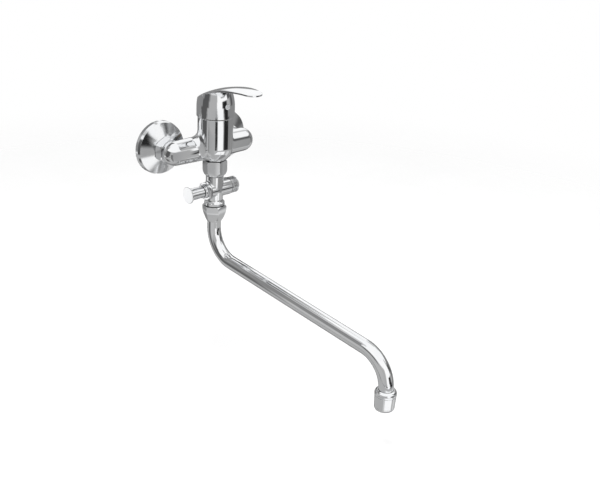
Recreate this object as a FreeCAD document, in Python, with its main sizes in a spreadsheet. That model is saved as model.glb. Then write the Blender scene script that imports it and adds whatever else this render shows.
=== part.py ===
import FreeCAD, Part
import math
import os
import Sketcher

# A wall mixer tap with a long swivel spout and an in-line diverter, in millimetres.
# Origin: on the wall, midway between the two inlets. X runs along the wall, -Y points into the
# room and Z is up. The valve column stands on a vertical axis, column_reach in front of the wall.

doc = FreeCAD.newDocument("wall_mixer_tap")

SIZES = {
    # screw threads, drawn as plain cylinders at their crests
    "half_inch_thread": 10.48,          # radius of a G1/2 thread
    "three_quarter_thread": 13.22,      # radius of a G3/4 thread
    "thread_gap": 0.05,                 # radial room in a female thread
    "running_gap": 0.05,                # radial room round a part that turns or slides
    "seat_gap": 0.1,                    # room between pieces that are clamped together
    # wall side
    "inlet_spacing": 100.0,
    "column_reach": 51.0,               # wall to the column's axis
    "tail_length": 14.0,                # thread that goes into the wall fitting
    "pipe_bore": 6.5,                   # radius of the waterways in the fittings
    "union_front": 22.0,                # wall to the union's sealing face
    "escutcheon_radius": 33.6,
    "escutcheon_rim": 8.6,              # height of the rim skirt
    "escutcheon_bevel": 1.0,            # how far the skirt draws in over its height
    "escutcheon_front": 14.6,           # wall to the small end of the cone
    "escutcheon_wall": 1.2,
    "union_nut_flats": 30.0,
    "union_nut_length": 12.0,
    "washer_thickness": 1.4,
    "strainer_thickness": 0.6,
    "tail_flange": 1.6,                 # thickness of the flange that the union nut pulls on
    # mixer body
    "column_radius": 22.0,
    "column_top": 44.0,
    "column_shoulder": 5.9,             # height where the column's round lower end starts
    "outlet_face": 12.0,                # flat face under the column, below the inlets
    "arm_set_back": 12.6,               # column axis to the arms' axis
    "arm_lift": 1.6,                    # the arms' axis above the inlets
    "arm_root_radius": 16.0,
    "arm_end_radius": 15.0,
    "elbow_overhang": 2.8,              # the elbow's centre outside the inlet axis
    "stub_radius": 14.4,
    "stub_clearance": 0.3,              # body stub to the union nut
    "arm_bore": 8.0,
    "arm_web": 5.0,                     # half of the wall between the two arm bores
    "body_blend": 10.0,                 # radius of the blend between column and arms
    "spigot_length": 12.0,              # thread under the outlet face
    "chamber_floor": 10.0,
    "chamber_radius": 17.6,
    # cartridge
    "cartridge_radius": 17.5,
    "cartridge_top": 38.5,
    "cartridge_bore": 16.0,
    "cartridge_plate": 2.0,             # flange of the cartridge's base
    "disc_thickness": 4.0,
    "moving_disc_thickness": 3.5,
    "moving_disc_radius": 11.0,
    "carrier_height": 5.3,
    "lift_travel": 4.76,                # how far the moving disc slides
    "disc_port": 2.2,
    "disc_port_spread": 4.6,
    "disc_port_front": 5.0,
    "mixed_port": 2.5,
    "mixed_port_back": 4.5,
    "seal_width": 1.1,
    "seal_height": 1.3,
    "pivot_height": 36.8,
    "pivot_pin_radius": 1.5,
    "rotor_radius": 13.0,
    "rotor_flange": 2.6,
    "rotor_top": 40.0,
    "stem_radius": 4.0,
    "stem_foot": 2.7,
    "stem_square": 8.0,
    "stem_square_base": 46.0,
    "stem_top": 64.0,
    "clamp_nut_radius": 19.5,
    "clamp_nut_flats": 30.0,
    "clamp_nut_head": 2.5,
    "clamp_nut_bore": 13.5,
    # lever
    "cap_radius": 23.5,
    "cap_seam": 0.8,                    # gap between the column's top and the cap
    "cap_lip": 1.5,                     # thickness of the cap's lower edge
    "cap_wall": 3.0,
    "cap_cavity_top": 66.0,
    "cap_cavity_shoulder": 52.0,
    "cap_straight": 11.0,               # height of the cap before its sides draw in
    "cap_draw_radius": 55.0,            # radius of the arc by which they draw in
    "lever_tip": 78.5,                  # column axis to the blade's tip
    "lever_tip_radius": 12.5,
    "blade_root_half": 19.3,            # half the blade's width level with the column's axis
    "blade_side_radius": 250.0,
    "blade_thickness": 1.8,
    "crown_radius": 94.9,               # arch across the blade
    "blade_shoulder": 9.5,              # tighter arch at the blade's sides
    "back_foot": 44.2,                  # height where the lever's back starts to lean forward
    "back_radius": 33.2,
    "back_angle": 28.8,                 # slope at the end of the back arch
    "rise_radius": 104.4,
    "rise_angle": 15.9,                 # slope where the long arch begins
    "long_radius": 153.2,
    "boss_radius": 8.5,
    "boss_base": 53.0,
    "set_screw_radius": 2.5,
    "set_screw_length": 6.0,
    "set_screw_height": 60.0,
    "plug_radius": 3.4,
    "plug_depth": 5.0,
    "plug_proud": 0.5,
    # diverter
    "diverter_axis_drop": 51.5,         # its cross axis, below the inlets
    "upper_nut_flats": 27.0,
    "upper_nut_straight": 12.5,         # height of the flats above the rounded shoulder
    "upper_nut_round": 11.0,            # radius of that shoulder
    "upper_nut_length": 20.2,
    "upper_nut_foot": 11.8,             # radius at its lower end
    "outlet_washer": 1.5,
    "diverter_tail": 8.8,               # radius of the tail inside the nut
    "split_ring_groove": 1.1,
    "split_ring_height": 1.2,
    "diverter_neck": 11.2,
    "diverter_waist": 10.6,
    "diverter_waist_drop": 64.0,
    "diverter_collar": 13.0,
    "diverter_collar_top": 67.5,
    "diverter_collar_drop": 72.2,
    "diverter_spigot": 12.3,            # thread below the collar
    "barrel_left": 11.3,
    "outlet_shank": 10.9,               # radius of the hose outlet behind its thread
    "outlet_shank_end": 20.5,
    "outlet_end": 33.0,
    "outlet_chamfer": 1.2,
    "thread_relief": 1.5,               # width of the groove behind an outside thread
    "relief_depth": 0.8,
    "outlet_bore": 5.6,
    "valve_bore": 7.5,
    "valve_travel": 8.0,
    "valve_land": 4.0,
    "valve_land_rest": 6.5,
    "inlet_port": 3.5,
    "inlet_port_offset": 2.5,
    "spout_port": 2.4,
    "spout_port_offset": 6.0,
    "bonnet_flats": 22.0,
    "bonnet_hex": 3.4,
    "bonnet_gasket": 0.8,
    "bonnet_thread": 9.0,
    "bonnet_thread_length": 3.2,
    "bonnet_collar": 8.6,
    "bonnet_collar_length": 4.5,
    "spindle_radius": 4.0,
    "spindle_neck": 2.5,
    "knob_radius": 7.4,
    "knob_length": 20.7,
    "knob_hub_depth": 15.7,
    "knob_disc_radius": 10.5,
    "knob_disc_thickness": 1.2,
    "ring_section": 0.8,                # section radius of the small sealing rings
    # spout
    "spout_nut_flats": 27.0,
    "spout_nut_waist_flats": 21.6,
    "spout_nut_foot_flats": 18.6,
    "spout_nut_top": 72.7,
    "spout_nut_length": 21.3,
    "spout_nut_straight": 5.0,          # height of the upright flats above the taper
    "spout_nut_waist": 4.5,             # height of the waist above the nut's foot
    "spout_nut_round": 40.0,            # radius that eases the tapering corners
    "tube_radius": 8.75,
    "tube_wall": 1.0,
    "spout_socket": 8.0,
    "spout_socket_top": 62.0,
    "spout_bush_top": 66.0,
    "spout_bush_collar": 2.3,
    "spout_bush_tail": 10.0,
    "bush_bore": 5.2,
    "bush_ring_inset": 3.5,             # upper sealing ring below the bush's top
    "bush_ring_spacing": 7.5,
    "glide_ring": 1.0,
    "spout_reach": 308.5,               # column axis to the mouth's axis
    "spout_first_corner": 139.1,        # below the inlets
    "spout_fall": 22.1,                 # how far the long run falls
    "spout_bend": 39.0,
    "spout_end_fall": 35.4,             # second corner down to the ring at the mouth
    # aerator
    "mouth_ring_height": 6.6,
    "tube_in_ring": 6.4,                # how far the tube's end stands in that ring
    "mouth_neck": 9.5,
    "mouth_radius": 12.6,
    "mouth_thread": 11.0,
    "mouth_thread_length": 6.0,
    "housing_radius": 12.4,
    "housing_foot": 11.7,
    "housing_foot_height": 14.3,        # from the ring's lower edge to the housing's round foot
    "housing_lip": 10.6,
    "housing_height": 18.3,
    "housing_lip_height": 2.0,
    "housing_mouth": 9.6,
    "aerator_washer": 1.5,
    "screen_thickness": 0.5,
    "insert_wall": 0.9,
    "insert_grid": 1.6,
}


class Size:
    """A length that knows both its value and the sheet expression behind it."""

    def __init__(self, value, text):
        self.value = float(value)
        self.text = text

    def joined(self, other, sign, value):
        return Size(value, "(%s %s %s)" % (self.text, sign, as_size(other).text))

    def __add__(self, other):
        return self.joined(other, "+", self.value + as_size(other).value)

    def __sub__(self, other):
        return self.joined(other, "-", self.value - as_size(other).value)

    def __mul__(self, other):
        return self.joined(other, "*", self.value * as_size(other).value)

    def __truediv__(self, other):
        return self.joined(other, "/", self.value / as_size(other).value)

    def __neg__(self):
        return Size(-self.value, "(0 - %s)" % self.text)

    def __radd__(self, other):
        return as_size(other) + self

    def __rsub__(self, other):
        return as_size(other) - self


def as_size(number):
    return number if isinstance(number, Size) else Size(number, repr(float(number)))


class Names:
    """The sheet's aliases as attributes."""


sheet = doc.addObject("Spreadsheet::Sheet", "Sizes")
the = Names()
for row, (alias, value) in enumerate(SIZES.items(), start=1):
    sheet.set("A%d" % row, alias)
    sheet.set("B%d" % row, str(value))
    sheet.setAlias("B%d" % row, alias)
    setattr(the, alias, Size(value, "Sizes." + alias))
doc.recompute()

ZERO = as_size(0)
COLUMN = (ZERO, -the.column_reach, ZERO)
UP = FreeCAD.Rotation()
INTO_ROOM = FreeCAD.Rotation(FreeCAD.Vector(1, 0, 0), 90)
TO_LEFT = FreeCAD.Rotation(FreeCAD.Vector(0, 1, 0), -90)
TO_RIGHT = FreeCAD.Rotation(FreeCAD.Vector(0, 1, 0), 90)
SIDES = (("left", -1), ("right", 1))
nodes = {}


def node(name, made):
    """Marks a finished piece: its label becomes its file's name."""
    made.Label = name
    nodes[name] = made
    return made


def bind(made, **lengths):
    for prop, length in lengths.items():
        length = as_size(length)
        setattr(made, prop, length.value)
        made.setExpression(prop, length.text)


def place(made, at, turn=UP):
    """Puts an object at three sizes, turned."""
    at = tuple(as_size(part) for part in at)
    made.Placement = FreeCAD.Placement(FreeCAD.Vector(*(part.value for part in at)), turn)
    for axis, part in zip("xyz", at):
        made.setExpression(".Placement.Base." + axis, part.text)
    return made


def below(drop, at=COLUMN):
    """A point on the column's axis, some way below the inlets."""
    return (at[0], at[1], at[2] - as_size(drop))


def lathe(name, profile, at=COLUMN, turn=UP):
    """A turned piece: a closed outline of (radius, height) points spun about the height axis.

    A point with a third entry starts an arc of that radius to the next point, bulging away from
    the axis, or towards it for a negative radius.
    """
    body = doc.addObject("PartDesign::Body", name)
    sketch = body.newObject("Sketcher::SketchObject", name + "_outline")
    plane = [part for part in body.Origin.OriginFeatures if part.Role == "XZ_Plane"][0]
    sketch.AttachmentSupport = [(plane, "")]
    sketch.MapMode = "FlatFace"
    points = [tuple(as_size(part) for part in point) for point in profile]
    spots = [FreeCAD.Vector(point[0].value, point[1].value, 0) for point in points]
    # a sketch keeps its arcs anticlockwise, so an arc that bulges to the left has its ends swapped
    ends = []
    for index, point in enumerate(points):
        start, end = spots[index], spots[(index + 1) % len(spots)]
        swapped = False
        if len(point) == 3:
            sketch.addGeometry(arc_between(start, end, point[2].value))
            swapped = (end.y > start.y) != (point[2].value > 0)
        else:
            sketch.addGeometry(Part.LineSegment(start, end))
        ends.append((2, 1) if swapped else (1, 2))
    for index, point in enumerate(points):
        follower = (index + 1) % len(points)
        sketch.addConstraint(Sketcher.Constraint("Coincident", index, ends[index][1], follower, ends[follower][0]))
    for index, point in enumerate(points):
        hold(sketch, index, ends[index][0], point[0], "DistanceX", -2)
        hold(sketch, index, ends[index][0], point[1], "DistanceY", -1)
        if len(point) == 3:
            radius = point[2] if point[2].value > 0 else -point[2]
            number = sketch.addConstraint(Sketcher.Constraint("Radius", index, radius.value))
            sketch.setExpression("Constraints[%d]" % number, radius.text)
    turned = body.newObject("PartDesign::Revolution", name + "_turned")
    turned.Profile = sketch
    turned.ReferenceAxis = (sketch, ["V_Axis"])
    turned.Angle = 360.0
    body.Tip = turned
    sketch.Visibility = False
    return place(body, at, turn)


def arc_between(start, end, radius):
    """The shorter arc from start to end, bulging to larger X, or to smaller X if negative."""
    chord = end - start
    half = chord.Length / 2
    size = max(abs(radius), half)
    sideways = FreeCAD.Vector(abs(chord.y), -chord.x * math.copysign(1, chord.y), 0).normalize()
    if radius < 0:
        sideways = -sideways
    bulge = size - math.sqrt(size * size - half * half)
    return Part.Arc(start, (start + end) * 0.5 + sideways * bulge, end)


def hold(sketch, geometry, point, length, kind, axis):
    """Ties a point of a sketch to one of its axes at a sheet size."""
    if length.text == ZERO.text:
        sketch.addConstraint(Sketcher.Constraint("PointOnObject", geometry, point, axis))
        return
    number = sketch.addConstraint(Sketcher.Constraint(kind, -1, 1, geometry, point, length.value))
    sketch.setExpression("Constraints[%d]" % number, length.text)


def ring(name, inner, outer, low, high, at=COLUMN, turn=UP):
    """A plain washer or sleeve between two heights."""
    return lathe(name, [(inner, low), (outer, low), (outer, high), (inner, high)], at, turn)


def rod(name, radius, length, at=COLUMN, turn=UP):
    made = doc.addObject("Part::Cylinder", name)
    bind(made, Radius=radius, Height=length)
    return place(made, at, turn)


def block(name, across, deep, high, centre, base):
    """A box centred on a point in X and Y, standing on a height."""
    made = doc.addObject("Part::Box", name)
    bind(made, Length=across, Width=deep, Height=high)
    across, deep = as_size(across), as_size(deep)
    return place(made, (centre[0] - across / 2, centre[1] - deep / 2, base))


def ball(name, radius, at):
    made = doc.addObject("Part::Sphere", name)
    bind(made, Radius=radius)
    return place(made, at)


def hexagon(name, flats, length, at, turn=UP):
    """A six-sided bar; at no turn, two of its corners lie along X."""
    made = doc.addObject("Part::Prism", name)
    made.Polygon = 6
    bind(made, Circumradius=as_size(flats) / math.sqrt(3), Height=length)
    return place(made, at, turn)


def fused(name, *parts):
    made = doc.addObject("Part::MultiFuse", name)
    made.Shapes = list(parts)
    return made


def shared(name, first, second):
    made = doc.addObject("Part::Common", name)
    made.Base, made.Tool = first, second
    return made


def without(name, base, *tools):
    """The base with every tool taken out of it."""
    made = doc.addObject("Part::Cut", name)
    made.Base = base
    made.Tool = tools[0] if len(tools) == 1 else fused(name + "_tools", *tools)
    return made


def bundle(name, *parts):
    """Several identical loose pieces under one name."""
    made = doc.addObject("Part::Compound", name)
    made.Links = list(parts)
    return made


def corner(flats):
    return as_size(flats) / math.sqrt(3)


# Wall side, once for each inlet: the reducing union, its escutcheon, nut, washer and strainer.
# Heights along these pieces are measured from the wall into the room.

nut_back = the.escutcheon_front + 0.4
nut_front = nut_back + the.union_nut_length
washer_top = the.union_front + the.washer_thickness
tail_face = washer_top + the.strainer_thickness
flange_back = tail_face + the.tail_flange
stub_end = nut_front + the.stub_clearance


def perforated(name, radius, thickness, hole, rings, at, turn):
    """A thin disc with rings of round holes, each ring given as (radius, count)."""
    body = doc.addObject("PartDesign::Body", name)
    plane = [part for part in body.Origin.OriginFeatures if part.Role == "XY_Plane"][0]
    outline = body.newObject("Sketcher::SketchObject", name + "_outline")
    outline.AttachmentSupport = [(plane, "")]
    outline.MapMode = "FlatFace"
    outline.addGeometry(Part.Circle(FreeCAD.Vector(), FreeCAD.Vector(0, 0, 1), as_size(radius).value))
    outline.addConstraint(Sketcher.Constraint("Coincident", 0, 3, -1, 1))
    number = outline.addConstraint(Sketcher.Constraint("Radius", 0, as_size(radius).value))
    outline.setExpression("Constraints[%d]" % number, as_size(radius).text)
    disc = body.newObject("PartDesign::Pad", name + "_disc")
    disc.Profile = outline
    bind(disc, Length=thickness)
    outline.Visibility = False
    for index, (ring_radius, count) in enumerate(rings):
        ring_radius = as_size(ring_radius)
        spot = body.newObject("Sketcher::SketchObject", "%s_hole%d" % (name, index))
        spot.AttachmentSupport = [(plane, "")]
        spot.MapMode = "FlatFace"
        spot.addGeometry(Part.Circle(FreeCAD.Vector(ring_radius.value, 0, 0), FreeCAD.Vector(0, 0, 1),
                                     as_size(hole).value))
        spot.addConstraint(Sketcher.Constraint("PointOnObject", 0, 3, -1))
        for kind, length in (("DistanceX", ring_radius), ("Radius", as_size(hole))):
            if kind == "Radius":
                number = spot.addConstraint(Sketcher.Constraint(kind, 0, length.value))
            else:
                number = spot.addConstraint(Sketcher.Constraint(kind, -1, 1, 0, 3, length.value))
            spot.setExpression("Constraints[%d]" % number, length.text)
        cut = body.newObject("PartDesign::Pocket", "%s_cut%d" % (name, index))
        cut.Profile = spot
        cut.Type = "ThroughAll"
        cut.Midplane = True
        spot.Visibility = False
        if count > 1:
            doc.recompute()
            pattern = body.newObject("PartDesign::PolarPattern", "%s_ring%d" % (name, index))
            pattern.Originals = [cut]
            pattern.Axis = (spot, ["N_Axis"]) if ring_radius.value == 0 else (outline, ["N_Axis"])
            pattern.Angle = 360.0
            pattern.Occurrences = count
            body.Tip = pattern
        else:
            body.Tip = cut
    return place(body, at, turn)


def wall_side(side, sign):
    inlet = (the.inlet_spacing * (0.5 * sign), ZERO, ZERO)
    node(side + "_wall_union", lathe(side + "_union", [
        (the.pipe_bore, -the.tail_length),
        (the.half_inch_thread, -the.tail_length),
        (the.half_inch_thread, -the.thread_relief),
        (the.half_inch_thread - the.relief_depth, -the.thread_relief),
        (the.half_inch_thread - the.relief_depth, 0),
        (the.three_quarter_thread, the.thread_relief * 2),
        (the.three_quarter_thread, the.union_front),
        (the.pipe_bore, the.union_front)], inlet, INTO_ROOM))
    rim = the.escutcheon_radius - the.escutcheon_bevel
    hole = the.three_quarter_thread + the.running_gap
    node(side + "_escutcheon", lathe(side + "_rose", [
        (the.escutcheon_radius - the.escutcheon_wall, 0),
        (the.escutcheon_radius, 0),
        (the.escutcheon_radius, the.escutcheon_rim * 0.55),
        (rim, the.escutcheon_rim),
        (hole + the.escutcheon_wall, the.escutcheon_front),
        (hole, the.escutcheon_front),
        (hole, the.escutcheon_front - the.escutcheon_wall),
        (rim - the.escutcheon_wall, the.escutcheon_rim - the.escutcheon_wall),
        (the.escutcheon_radius - the.escutcheon_wall, the.escutcheon_rim * 0.55)], inlet, INTO_ROOM))
    thread = the.three_quarter_thread + the.thread_gap
    neck = the.three_quarter_thread - the.tail_flange - 0.6
    chamfer = corner(the.union_nut_flats) - the.union_nut_flats / 2
    envelope = lathe(side + "_nut_envelope", [
        (thread, nut_back),
        (the.union_nut_flats / 2, nut_back),
        (corner(the.union_nut_flats), nut_back + chamfer * 0.6),
        (corner(the.union_nut_flats), nut_front - chamfer * 0.6),
        (the.union_nut_flats / 2, nut_front),
        (neck + 0.2, nut_front),
        (neck + 0.2, flange_back + the.seat_gap),
        (thread, flange_back + the.seat_gap)], inlet, INTO_ROOM)
    bar = hexagon(side + "_nut_bar", the.union_nut_flats, the.union_nut_length,
                  (inlet[0], -nut_back, ZERO), INTO_ROOM.multiply(FreeCAD.Rotation(FreeCAD.Vector(0, 0, 1), 30)))
    node(side + "_union_nut", shared(side + "_nut", bar, envelope))
    node(side + "_inlet_washer", ring(side + "_washer", the.pipe_bore + 1.5, the.three_quarter_thread - 0.4,
                                      the.union_front, washer_top, inlet, INTO_ROOM))
    node(side + "_inlet_strainer", perforated(
        side + "_strainer", the.three_quarter_thread - 0.6, the.strainer_thickness, 0.8,
        ((2.4, 6), (4.8, 12)), (inlet[0], -washer_top, ZERO), INTO_ROOM))
    # The tail is a bush screwed into the body: its flange is what the union nut pulls on.
    node(side + "_inlet_tail", lathe(side + "_tail", [
        (the.pipe_bore, tail_face),
        (the.three_quarter_thread - 0.6, tail_face),
        (the.three_quarter_thread - 0.6, flange_back),
        (neck, flange_back),
        (neck, stub_end),
        (the.arm_bore + 1.5, stub_end),
        (the.arm_bore + 1.5, stub_end + 6),
        (the.pipe_bore, stub_end + 6)], inlet, INTO_ROOM))


for side, sign in SIDES:
    wall_side(side, sign)


# Mixer body: a column with two arms that sweep back to the inlets, hollow inside.

def mixer_body():
    arm_axis = -the.column_reach + the.arm_set_back
    elbow = the.inlet_spacing / 2 + the.elbow_overhang
    column = lathe("column", [
        (0, the.column_shoulder - the.column_radius, the.column_radius),
        (the.column_radius, the.column_shoulder),
        (the.column_radius, the.column_top - 0.8),
        (the.column_radius - 0.8, the.column_top),
        (0, the.column_top)])
    arms = []
    for side, sign in SIDES:
        arm = doc.addObject("Part::Cone", side + "_arm")
        bind(arm, Radius1=the.arm_root_radius, Radius2=the.arm_end_radius, Height=elbow)
        arms.append(place(arm, (ZERO, arm_axis, the.arm_lift), TO_RIGHT if sign > 0 else TO_LEFT))
        arms.append(ball(side + "_elbow", the.arm_end_radius, (elbow * sign, arm_axis, the.arm_lift)))
    outside = fused("body_outside", column, *arms)
    doc.recompute()
    blended = doc.addObject("Part::Fillet", "body_blended")
    blended.Base = outside
    blended.Edges = blend_edges(outside.Shape, the.body_blend.value)
    doc.recompute()
    stubs = [rod(side + "_stub", the.stub_radius, -arm_axis - stub_end,
                 (the.inlet_spacing * (0.5 * sign), -stub_end, ZERO), INTO_ROOM) for side, sign in SIDES]
    # the wall side is faced flat for the union nuts, the underside for the diverter's nut
    facing = block("wall_facing", elbow * 3, the.column_radius, the.column_radius * 3,
                   (ZERO, -stub_end + the.column_radius / 2), -the.column_radius)
    recess = rod("nut_recess", corner(the.upper_nut_flats) + 0.8, the.column_radius,
                 below(the.outlet_face + the.column_radius))
    faced = without("body_faced", fused("body_stubbed", blended, *stubs), facing, recess)
    spigot = rod("outlet_spigot", the.half_inch_thread, the.spigot_length + 1,
                 below(the.outlet_face + the.spigot_length))
    chamber = rod("chamber", the.chamber_radius, the.column_top - the.chamber_floor,
                  below(-the.chamber_floor))
    mouth = rod("chamber_mouth", the.clamp_nut_radius + the.thread_gap,
                the.column_top - the.cartridge_top, below(-the.cartridge_top))
    outlet = rod("outlet_bore", the.pipe_bore, the.outlet_face + the.spigot_length - 3,
                 below(the.outlet_face + the.spigot_length))
    riser = rod("mixed_riser", the.mixed_port, the.chamber_floor + 5,
                (ZERO, -the.column_reach + the.mixed_port_back, as_size(-5)))
    tools = [chamber, mouth, outlet, riser]
    for side, sign in SIDES:
        inlet_x = the.inlet_spacing * (0.5 * sign)
        tools.append(rod(side + "_arm_bore", the.arm_bore, the.inlet_spacing / 2 - the.arm_web,
                         (the.arm_web * sign, arm_axis, the.arm_lift), TO_RIGHT if sign > 0 else TO_LEFT))
        tools.append(rod(side + "_stub_bore", the.arm_bore, -arm_axis - stub_end,
                         (inlet_x, -stub_end, ZERO), INTO_ROOM))
        tools.append(ball(side + "_bend_bore", the.arm_bore, (inlet_x, arm_axis, the.arm_lift)))
        tools.append(rod(side + "_tail_seat", the.arm_bore + 1.5 + the.thread_gap, 6.2,
                         (inlet_x, -stub_end, ZERO), INTO_ROOM))
        passage_x = (the.disc_port_spread + 3) * sign
        tools.append(rod(side + "_passage", 2.8, the.arm_set_back + the.disc_port_front,
                         (passage_x, arm_axis, as_size(4)), INTO_ROOM))
        tools.append(rod(side + "_port", the.disc_port + 0.2, the.chamber_floor - 4,
                         (the.disc_port_spread * sign, -the.column_reach - the.disc_port_front, as_size(4))))
    return without("body", fused("body_solid", faced, spigot), *tools)


def blend_edges(shape, radius):
    """The edges where the arms run into the column, each with its blend radius."""
    found = []
    for number, edge in enumerate(shape.Edges, start=1):
        if edge.Degenerated:
            continue
        box = edge.BoundBox
        on_column = True
        for part in range(9):
            spot = edge.valueAt(edge.FirstParameter + (edge.LastParameter - edge.FirstParameter) * part / 8)
            off_axis = math.hypot(spot.x, spot.y + the.column_reach.value)
            under = min(spot.z - the.column_shoulder.value, 0)
            on_column = on_column and abs(math.hypot(off_axis, under) - the.column_radius.value) < 0.05
        if on_column and box.XLength > 1 and box.ZLength > 1:
            found.append((number, radius, radius))
    return found


node("mixer_body", mixer_body())


# Cartridge: base, seals, two ceramic discs, the carrier on the moving one, rotor, stem and pin.

base_low = the.chamber_floor + 0.2
base_flange = base_low + the.cartridge_plate
base_top = base_flange + 2
fixed_top = base_top + the.disc_thickness
moving_top = fixed_top + the.moving_disc_thickness
carrier_top = moving_top + the.carrier_height
rotor_low = carrier_top + 0.3
rotor_shoulder = rotor_low + the.rotor_flange
foot_height = rotor_low - the.stem_foot + 1.0

PORTS = (("left", -the.disc_port_spread, -the.disc_port_front, the.disc_port),
         ("right", the.disc_port_spread, -the.disc_port_front, the.disc_port),
         ("mixed", ZERO, the.mixed_port_back, the.mixed_port))


def port_rods(name, low, high, extra=0.0):
    made = []
    for port, x, y, radius in PORTS:
        made.append(rod("%s_%s_port" % (name, port), radius + extra, high - low,
                        (x, -the.column_reach + y, low)))
    return made


def cartridge():
    shell = lathe("shell", [
        (the.cartridge_bore, base_flange),
        (the.cartridge_radius, base_flange),
        (the.cartridge_radius, the.cartridge_top),
        (the.rotor_radius + the.running_gap, the.cartridge_top),
        (the.rotor_radius + the.running_gap, rotor_shoulder + 0.2),
        (the.cartridge_bore, rotor_shoulder + 0.2)])
    node("cartridge_housing", shell)
    base = lathe("base", [
        (0, base_low),
        (the.cartridge_radius, base_low),
        (the.cartridge_radius, base_flange),
        (the.cartridge_bore - the.seat_gap, base_flange),
        (the.cartridge_bore - the.seat_gap, base_top),
        (0, base_top)])
    node("cartridge_base", without("base_ported", base, *port_rods("base", base_low, base_top),
                                   *port_rods("seal_seat", base_low, base_low + the.seal_height - 0.2,
                                              the.seal_width + 0.05)))
    seals = []
    for port, x, y, radius in PORTS:
        seals.append(ring(port + "_seal", radius + 0.1, radius + the.seal_width, 0, the.seal_height,
                          (x, -the.column_reach + y, the.chamber_floor)))
    node("cartridge_base_seals", bundle("base_seals", *seals))
    fixed = rod("fixed_blank", the.cartridge_bore - 0.4, the.disc_thickness, below(-base_top))
    node("fixed_ceramic_disc", without("fixed_disc", fixed, *port_rods("fixed", base_top, fixed_top)))
    moving = rod("moving_blank", the.moving_disc_radius, the.moving_disc_thickness, below(-fixed_top))
    slot_front = as_size(-1.5)
    slot_back = the.mixed_port_back + the.mixed_port + 1
    slot = block("moving_slot", the.disc_port_spread * 2 - 0.8, slot_back - slot_front, as_size(1.6),
                 (ZERO, -the.column_reach + (slot_back + slot_front) / 2), fixed_top)
    node("moving_ceramic_disc", without("moving_disc", moving, slot))
    carrier = rod("carrier_blank", the.moving_disc_radius, the.carrier_height, below(-moving_top))
    pocket = rod("carrier_pocket", the.stem_foot + 0.3, the.carrier_height - 1, below(-(moving_top + 1)))
    node("disc_carrier", without("carrier", carrier, pocket))
    rotor = lathe("rotor_blank", [
        (0, rotor_low),
        (the.cartridge_bore - 0.3, rotor_low),
        (the.cartridge_bore - 0.3, rotor_shoulder),
        (the.rotor_radius, rotor_shoulder),
        (the.rotor_radius, the.rotor_top),
        (0, the.rotor_top)])
    slot_deep = the.stem_radius * 2 + 7.8
    opening = block("rotor_slot", the.stem_radius * 2 + 0.3, slot_deep, the.rotor_top - rotor_low,
                    (ZERO, -the.column_reach - 1.3), rotor_low)
    pin_hole = rod("pin_hole", the.pivot_pin_radius, the.rotor_radius * 2 + 1,
                   (-the.rotor_radius - 0.5, -the.column_reach, the.pivot_height), TO_RIGHT)
    node("cartridge_rotor", without("rotor", rotor, opening, pin_hole))
    node("pivot_pin", rod("pin", the.pivot_pin_radius, the.rotor_radius * 2 - 0.6,
                          (-the.rotor_radius + 0.3, -the.column_reach, the.pivot_height), TO_RIGHT))
    shank = lathe("stem_shank", [
        (0, foot_height),
        (the.stem_foot - 0.9, foot_height),
        (the.stem_radius, rotor_low + 3),
        (the.stem_radius, the.stem_square_base),
        (0, the.stem_square_base)])
    foot = ball("stem_foot_ball", the.stem_foot, below(-foot_height))
    square = block("stem_square_bar", the.stem_square, the.stem_square, the.stem_top - the.stem_square_base + 1,
                   (ZERO, -the.column_reach), the.stem_square_base - 1)
    stem_hole = rod("stem_pin_hole", the.pivot_pin_radius + the.running_gap, the.rotor_radius,
                    (-the.rotor_radius / 2, -the.column_reach, the.pivot_height), TO_RIGHT)
    node("lever_stem", without("stem", fused("stem_solid", shank, foot, square), stem_hole))
    head = hexagon("clamp_head", the.clamp_nut_flats, the.clamp_nut_head + 1, below(-(the.column_top - 1)))
    skirt = ring("clamp_skirt", the.clamp_nut_bore, the.clamp_nut_radius, the.cartridge_top + the.seat_gap,
                 the.column_top)
    bore = rod("clamp_bore", the.clamp_nut_bore, the.clamp_nut_head + 3, below(-(the.column_top - 2)))
    node("cartridge_clamp_nut", without("clamp_nut", fused("clamp_solid", skirt, head), bore))


cartridge()


# Lever: one casting, a cap that runs up at the back into a blade arching forward over it.

def lever_profile():
    """Crown line of the lever, back to front: (distance in front of the column axis, height)."""
    spots = []
    front = -(the.cap_radius.value + 0.5)
    height = the.back_foot.value
    arcs = ((the.back_radius.value, 90.0, the.back_angle.value, 6),
            (the.rise_radius.value, the.back_angle.value, the.rise_angle.value, 3))
    for radius, first, last, count in arcs:
        top, low = math.radians(first), math.radians(last)
        for part in range(count):
            slope = top + (low - top) * part / count
            spots.append((front + radius * (math.sin(top) - math.sin(slope)),
                          height + radius * (math.cos(slope) - math.cos(top))))
        front += radius * (math.sin(top) - math.sin(low))
        height += radius * (math.cos(low) - math.cos(top))
    first = math.radians(the.rise_angle.value)
    length = the.lever_tip.value + the.blade_thickness.value * 2 - front
    count = 6
    for part in range(count):
        slope = math.asin(math.sin(first) - length * part / (count - 1) / the.long_radius.value)
        spots.append((front + the.long_radius.value * (math.sin(first) - math.sin(slope)),
                      height + the.long_radius.value * (math.cos(slope) - math.cos(first))))
    return spots


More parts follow.
